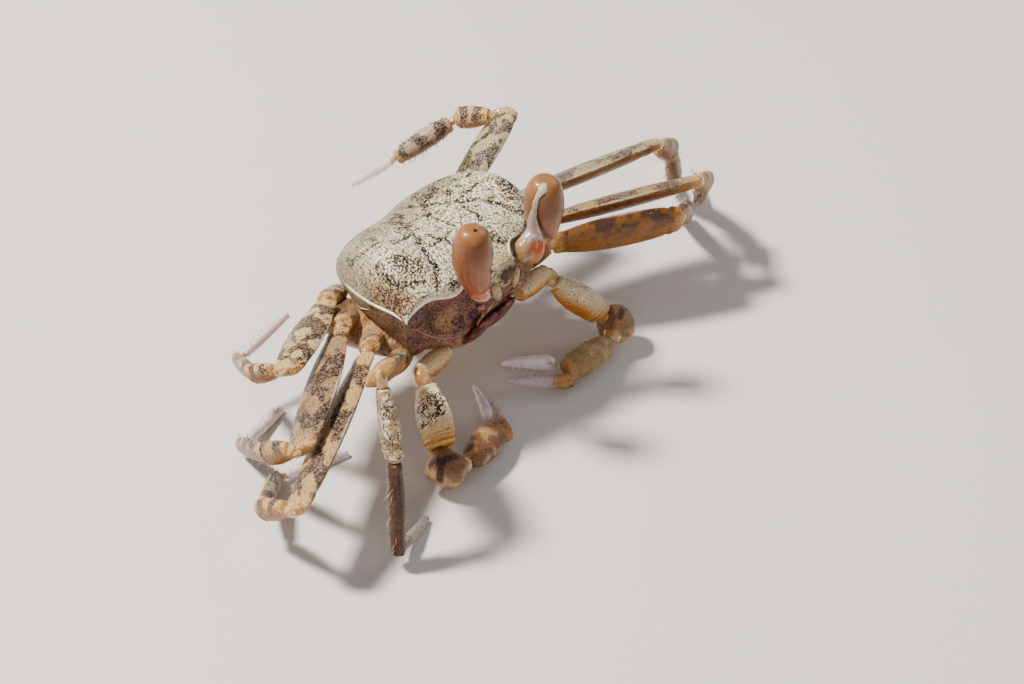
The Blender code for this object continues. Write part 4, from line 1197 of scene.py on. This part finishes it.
class CRAB_OT_eyes(bpy.types.Operator):
    """Models the tall corneas and the stalks that carry them"""
    bl_idname = "crab.eyes"
    bl_label = "Eyes"

    def execute(self, context):
        for side, label in SIDES:
            eye = EYES[side]
            centre = np.array(on_side(EYE_CENTRE, side)) - (0, 0, eye["lower"])
            strip = eye_strip(side, eye)
            self.cornea(side, label, eye, centre, strip)
            self.stalk(side, label, eye, centre, strip)
        return {"FINISHED"}

    def cornea(self, side, label, eye, centre, strip):
        piece = add_ball(f"crab_{label}_cornea", (1, 1, 1), across=96, rings=80)
        unit = points(piece)
        height = unit[:, 2]
        turned = np.arctan2(unit[:, 1], unit[:, 0] * side)
        co = np.stack([np.cos(turned) * side, np.sin(turned), height], 1) * CORNEA_RADIUS
        co[:, :2] *= (eye_profile(height) * (np.hypot(unit[:, 0], unit[:, 1]) > 1e-6))[:, None]
        co[:, 2] = height * CORNEA_HALF
        co[:, :2] += np.array(eye["lean"]) * ramp(-height, 0.1, 1.0)[:, None]
        gaze = np.angle(np.exp(1j * (turned - eye["gaze"])))
        middle = bell(height - eye["blotch"], 0.34) * (0.35 + 0.65 * bell(gaze, 0.6))
        tint = blend("cornea", (158, 110, 66), ramp(height, 0.55, 0.9) * 0.9)
        tint = blend(tint, (158, 84, 54), ramp(-height, 0.0, 0.5) * 0.85)
        tint = blend(tint, (106, 48, 10), middle * 0.9)
        tint = blend(tint, "salmon", ramp(-height, 0.76, 0.9) * 0.95)
        tint = blend(tint, (110, 56, 44), ramp(height, 0.965, 0.998) * 0.25)
        beside = from_line(co + centre, strip) - np.interp(height, STRIP_HEIGHTS, STRIP_WIDTHS)
        ahead = ramp(np.sin(turned - 2.95 - 0.4 * ramp(height, -0.9, 0.9)), 0.0, 0.06)
        border = bell(beside, 0.07) * ramp(height, -0.8, -0.5) * ramp(-height, -0.84, -0.74) * ahead
        tint = blend(tint, (40, 24, 18), border * eye["border"])
        spot = np.array(eye["spot"])
        spot = co[np.argmin(np.linalg.norm(unit - spot / np.linalg.norm(spot), axis=1))]
        tint = blend(tint, (10, 7, 7), ramp(-np.linalg.norm(co - spot, axis=1), -0.16, -0.11))
        move_points(piece, co + centre)
        lay(piece, tint)
        settle(piece, "cornea", "cornea", f"{label}_cornea")

    def stalk(self, side, label, eye, centre, strip):
        """Stalk with its neck, the strip up the eye and the swelling at its foot, melted into one."""
        piece = solid_copy(f"{label}_eyestalk", f"crab_{label}_eyestalk")
        rounded(piece, 3)
        co = points(piece)
        share = (co[:, 2] - co[:, 2].min()) / np.ptp(co[:, 2])
        co[:, :2] = centre[:2] + (co[:, :2] - centre[:2]) * (1 - 0.55 * ramp(share, 0.24, 0.4))[:, None]
        co[:, 2] -= 0.25 * ramp(share, 0.8, 1.0)
        co[:, 0] -= eye["shift"] * ramp(-share, -0.4, -0.15)
        co[:, 2] -= eye["lower"] * ramp(share, 0.3, 0.5)
        move_points(piece, co)
        join(piece, bead("neck", eye["foot"] + strip, 1.0, widths=eye["neck"] + STRIP_WIDTHS))
        join(piece, add_ball(*eye["swelling"], 40, 30))
        melted(piece, 0.05, 16)
        grain(piece, 0.3, 0.02, "CLOUDS")
        co = points(piece)
        x, _, z = co.T
        share = (z - z.min()) / np.ptp(z)
        if side > 0:
            tint = blend((156, 118, 70), (188, 88, 38), ramp(x, 1.8, 2.5))
            # painted highlight: pale wet glints on the stalk's side towards the crab's middle
            pale = ramp(cloud(co, 0.35, 4.0), 0.5, 0.6) * ramp(-x, -1.9, -1.6)
            tint = blend(tint, (200, 184, 150), pale * 0.3)
        else:
            # painted shade: the stalk below the salmon cup is painted dark purple-brown, to read as the shaded
            # socket
            tint = blend((84, 42, 38), (214, 150, 106), ramp(z, 0.62, 0.72))
            tint = blend(tint, "salmon", ramp(z, 0.86, 1.05))
        tint = blend(tint, (196, 176, 166), ramp(share, 0.24, 0.36))
        if side > 0:
            blush = np.exp(-((z - 1.0) / 0.3) ** 2 - ((x - 2.95) / 0.28) ** 2)
            tint = blend(tint, (204, 52, 22), blush * 0.95)
        tint = blend(tint, (168, 146, 132), ramp(share, 0.42, 0.55) * ramp(-share, -0.86, -0.76) * 0.7)
        tint = blend(tint, (214, 208, 176), ramp(share, 0.84, 0.95))
        lay(piece, tint)
        settle(piece, "stalk", "eyestalk", f"{label}_eyestalk")


class CRAB_OT_face(bpy.types.Operator):
    """Models the mouth covers, the folded feelers and the small antennae between the eyes"""
    bl_idname = "crab.face"
    bl_label = "Face"

    def execute(self, context):
        for side, label in SIDES:
            self.cover(side, label)
            plate = add_ball(f"{label}_feeler_base", FEELER_BASE, across=32, rings=24)
            plate.rotation_euler = (0, math.radians(20 * side), math.radians(14 * side))
            plate.location = on_side(FEELER_BASE_AT, side)
            settle(grain(apply_place(plate), 0.3, 0.05, "CLOUDS"), "feeler", "mouth")
            settle(bead(f"{label}_feeler", mirrored(FEELER, side), 0.06, 0.5), "feeler", "mouth")
            settle(bead(f"{label}_antenna", mirrored(ANTENNA, side), 0.055, 0.35), "low_rim", "mouth")
            root = add_ball(f"{label}_antenna_base", ANTENNA_BASE, on_side(ANTENNA_BASE_AT, side), 20 * side, 28, 20)
            settle(grain(root, 0.2, 0.05, "CLOUDS"), "low_rim", "mouth")
            settle(bead(f"{label}_mouth_ridge", mirrored(MOUTH_RIDGE, side), 0.07, 0.4), "low_rim", "mouth")
        rim = [(1.34 * math.cos(t), -5.42 - 0.16 * math.sin(t), 0.14 - 0.86 * math.sin(t))
               for t in np.linspace(-0.2, math.pi + 0.2, 11)]
        settle(bead("front_rim", rim, 0.055, 0.6), "low_rim", "shell")
        return {"FINISHED"}

    def cover(self, side, label):
        """Mouth cover: narrower than its solid, swollen in its middle and creased into plates."""
        piece = solid_copy(f"{label}_maxilliped", f"crab_{label}_maxilliped")
        rounded(piece, 4)
        co, facing = points(piece), normals(piece)
        co[:, 0] *= 0.86
        x, _, z = co.T
        front = ramp(-facing[:, 1], 0.2, 0.7)
        wide, tall = x * side - 1.06, (z + 3.5) / 1.15
        swell = np.maximum(0.0, 1 - np.abs(wide) ** 2.5) * np.maximum(0.0, 1 - np.abs(tall) ** 3)
        dent = bell(z + 3.2 + 0.25 * x * side, 0.07) + bell(x * side - 0.62, 0.06) * (z < -3.25)
        co = co + facing * 0.05 + np.array([0.0, 0.04, 0.04]) * (front * swell)[:, None]
        co = co - facing * (0.1 * dent * front)[:, None]
        move_points(piece, co)
        grain(piece, 0.2, 0.03)
        tint = blend((128, 70, 62), (76, 36, 34), ramp(cloud(co, 0.5, side * 2.0), 0.45, 0.65))
        edge = np.maximum(ramp(np.abs(wide), 0.86, 0.98), ramp(-tall, 0.8, 0.95))
        lay(piece, blend(tint, (186, 84, 74), edge * 0.6), 0.2)
        settle(piece, "underside", "mouth", f"{label}_maxilliped")


class CRAB_OT_underside(bpy.types.Operator):
    """Models the breast plates, the flanks and the folded tail flap with their seams"""
    bl_idname = "crab.underside"
    bl_label = "Underside"

    def execute(self, context):
        breast = solid_copy("thorax", "crab_thorax")
        melted(breast, 0.12, 14)
        co, facing = points(breast), normals(breast)
        x, y, _ = co.T
        low = ramp(-facing[:, 2], 0.2, 0.7)
        dent = sum(bell(y - at + 0.12 * np.abs(x), 0.1) for at in BREAST_SEAMS)
        dent = dent * low * ramp(np.abs(x), 0.8, 1.6) + bell(x, 0.12) * low
        move_points(breast, co + facing * (0.04 - 0.14 * dent)[:, None])
        grain(breast, 0.22, 0.03)
        patchy = cloud(co, 1.0, 6.0)
        tint = blend("amber", (196, 168, 120), low * 0.7)
        tint = blend(tint, (120, 82, 50), ramp(patchy, 0.5, 0.75) * 0.6)
        tint = blend(tint, (206, 166, 70), ramp(np.abs(x), 3.4, 4.2) * ramp(y, 0.0, 2.5) * 0.5)
        lay(breast, tint, 0.12 + 0.25 * patchy, 0.1)
        settle(breast, "underside", "underside", "thorax")
        for side, label in SIDES:
            flank = add_ball(f"{label}_flank", FLANK, on_side(FLANK_AT, side), -6 * side, 72)
            co, facing = points(flank), normals(flank)
            fold = sum(bell(co[:, 1] - at, 0.14) for at in FLANK_FOLDS)
            move_points(flank, co - facing * (0.22 * fold)[:, None])
            grain(flank, 0.22, 0.035)
            tint = blend((158, 110, 62), (104, 70, 42), ramp(cloud(co, 0.8, 3.0 + side), 0.42, 0.66))
            lay(flank, tint, 0.14 + 0.2 * fold, 0.06, 1.1)
            settle(flank, "limb", "underside")
        flap = solid_copy("abdomen", "crab_abdomen")
        rounded(flap, 5)
        co, facing = points(flap), normals(flap)
        dent = sum(bell(co[:, 1] - at, 0.07) for at in FLAP_SEAMS)
        move_points(flap, co + facing * (0.03 - 0.09 * dent)[:, None])
        grain(flap, 0.2, 0.025)
        patchy = cloud(co, 0.8, 2.0)
        tint = blend((206, 186, 142), (160, 126, 82), ramp(patchy, 0.4, 0.7) * 0.7)
        lay(flap, tint, 0.1 + 0.2 * patchy, 0.15)
        settle(flap, "underside", "underside", "abdomen")
        return {"FINISHED"}


# ---- bristles --------------------------------------------------------------------------------
class CRAB_OT_bristles(bpy.types.Operator):
    """Sets wet bristles along the edges of the lower legs and at the finger hinges"""
    bl_idname = "crab.bristles"
    bl_label = "Bristles"

    def execute(self, context):
        deselect()
        bpy.ops.mesh.primitive_cone_add(vertices=4, radius1=0.5, radius2=0.04, depth=1, location=(0, 0, 0.5))
        hair = context.object
        bpy.ops.object.transform_apply(location=True)
        cut_rings(hair, (0.35, 0.7))
        bristle = points(hair), [tuple(face.vertices) for face in hair.data.polygons]
        bpy.data.objects.remove(hair, do_unlink=True)
        rng = np.random.default_rng(BRISTLE_SEED)
        for leg in LEGS:
            roots, ways = [], []
            broad, thin = (1, 0) if leg == "right_leg_2" else (0, 1)
            for part, count, long in BRISTLES:
                (foot, span, turn), piece = grown(f"{leg}_{part}")
                for k in range(count):
                    share = 0.06 + 0.9 * (k // 2 + rng.uniform(0.2, 0.8)) / (count / 2)
                    edge = 1 if k % 2 else -1
                    lean = rng.normal(0, 0.35)
                    out = turn[:, broad] * edge * math.cos(lean) + turn[:, thin] * math.sin(lean)
                    root, normal = self.near(piece, foot + turn[:, 2] * span * share + out * 2.0)
                    way = out * 0.75 + turn[:, 2] * rng.uniform(0.3, 0.9) + rng.normal(0, 0.12, 3)
                    roots.append(root - normal * 0.03)
                    ways.append(way / np.linalg.norm(way) * size("seta") * long * rng.uniform(0.5, 1.0))
            self.plant(f"{leg}_bristles", bristle, roots, ways, rng)
        for side, label in SIDES:
            roots, ways = [], []
            hinge = np.array(on_side(FINGER_START, side))
            for _ in range(HINGE_BRISTLES):
                roots.append(hinge + rng.normal(0, 0.18, 3) + np.array([-0.2 * side, -0.2, 0.2]))
                way = np.array([-0.9 * side, 0.1, 0.25]) + rng.normal(0, 0.2, 3)
                ways.append(way / np.linalg.norm(way) * rng.uniform(0.7, 1.2))
            self.plant(f"{label}_hinge_bristles", bristle, roots, ways, rng)
        return {"FINISHED"}

    def near(self, piece, guess):
        """The place on a settled piece that is nearest to a guess, in millimetres, and its normal."""
        _, where, normal, _ = piece.closest_point_on_mesh(HOME + Vector(guess) * MM)
        return (np.array(where) - np.array(HOME)) / MM, np.array(normal)

    def plant(self, name, bristle, roots, ways, rng):
        """Joined mesh of one bristle copied to every root, each bending a little towards its tip."""
        shape, faces = bristle
        thick = size("seta_root")
        verts, polys = [], []
        for root, way in zip(roots, ways):
            reach = np.linalg.norm(way)
            turn = np.array(Vector(way).to_track_quat("Z", "Y").to_matrix())
            local = shape * np.array([thick, thick, reach])
            local[:, 0] += rng.uniform(-0.22, 0.22) * reach * shape[:, 2] ** 2
            base = len(verts) * len(shape)
            verts.append(local @ turn.T + root)
            polys += [tuple(corner + base for corner in face) for face in faces]
        mesh = bpy.data.meshes.new(name)
        mesh.from_pydata(np.concatenate(verts).tolist(), [], polys)
        settle(new_object(name, mesh), "bristle", "leg")


# ---- stage -----------------------------------------------------------------------------------
class CRAB_OT_stage(bpy.types.Operator):
    """Lays a pale floor and sets soft lights and the camera"""
    bl_idname = "crab.stage"
    bl_label = "Floor, lights and camera"

    def execute(self, context):
        deselect()
        bpy.ops.mesh.primitive_plane_add(size=FLOOR_SIZE)
        floor = context.object
        floor.name = "floor"
        made = Mixer("floor", Roughness=0.6)
        made.send(Base_Color=made.mix(made.noise(0.02, 3.0), *FLOOR_TONES))
        floor.data.materials.append(made.material)
        world = context.scene.world or bpy.data.worlds.new("studio")
        context.scene.world = world
        world.use_nodes = True
        back = world.node_tree.nodes.get("Background") or world.node_tree.nodes.new("ShaderNodeBackground")
        back.inputs["Color"].default_value = SKY
        back.inputs["Strength"].default_value = SKY_STRENGTH
        for name, way, far, width, power, warm in LAMPS:
            way = Vector(way).normalized()
            light = bpy.data.lights.new(name, "AREA")
            light.size, light.energy, light.color = width, power, warm
            lamp = new_object(name, light)
            lamp.location = HOME + way * far
            lamp.rotation_euler = way.to_track_quat("Z", "Y").to_euler()
        self.camera()
        return {"FINISHED"}

    def camera(self):
        """Sets the camera to its way, distance and aim, with the crab a little off the middle of its view."""
        around, tilt, roll = (math.radians(angle) for angle in CAMERA_WAY)
        right = Vector((math.cos(around), math.sin(around), 0))
        up = Vector((-math.sin(around) * math.sin(tilt), math.cos(around) * math.sin(tilt), math.cos(tilt)))
        right, up = right * math.cos(roll) + up * math.sin(roll), up * math.cos(roll) - right * math.sin(roll)
        back = right.cross(up)
        lens = bpy.data.cameras.new("camera")
        lens.lens, lens.sensor_width, lens.clip_start, lens.clip_end = LENS, SENSOR, 0.005, 20
        camera = new_object("camera", lens)
        aim = (right * AIM_RIGHT / AIM_DEPTH - back - up * AIM_DOWN / AIM_DEPTH).normalized()
        across = (right - aim * right.dot(aim)).normalized()
        turn = Matrix((across, across.cross(aim), -aim)).transposed().to_4x4()
        camera.matrix_world = Matrix.Translation(HOME + back * CAMERA_FAR * MM) @ turn
        bpy.context.scene.camera = camera


STEPS = (CRAB_OT_shell, CRAB_OT_eyes, CRAB_OT_face, CRAB_OT_underside, CRAB_OT_legs, CRAB_OT_claws,
         CRAB_OT_joints, CRAB_OT_bristles, CRAB_OT_stage)


class CRAB_PT_panel(bpy.types.Panel):
    """Lists the crab's building steps, sizes and colours"""
    bl_idname = "CRAB_PT_panel"
    bl_label = "Ghost crab"
    bl_space_type = "VIEW_3D"
    bl_region_type = "UI"
    bl_category = "Ghost crab"

    def draw(self, context):
        for step in STEPS:
            self.layout.operator(step.bl_idname)
        for group in (context.scene.crab_sizes, context.scene.crab_colours):
            box = self.layout.box()
            for name in group.__annotations__:
                box.prop(group, name)


CLASSES = (CrabSizes, CrabColours, *STEPS, CRAB_PT_panel)


def register():
    for made in CLASSES:
        bpy.utils.register_class(made)
    bpy.types.Scene.crab_sizes = bpy.props.PointerProperty(type=CrabSizes)
    bpy.types.Scene.crab_colours = bpy.props.PointerProperty(type=CrabColours)


def unregister():
    del bpy.types.Scene.crab_colours
    del bpy.types.Scene.crab_sizes
    for made in reversed(CLASSES):
        bpy.utils.unregister_class(made)


def main():
    register()
    for step in STEPS:
        group, name = step.bl_idname.split(".")
        getattr(getattr(bpy.ops, group), name)()


if __name__ == "__main__":
    main()
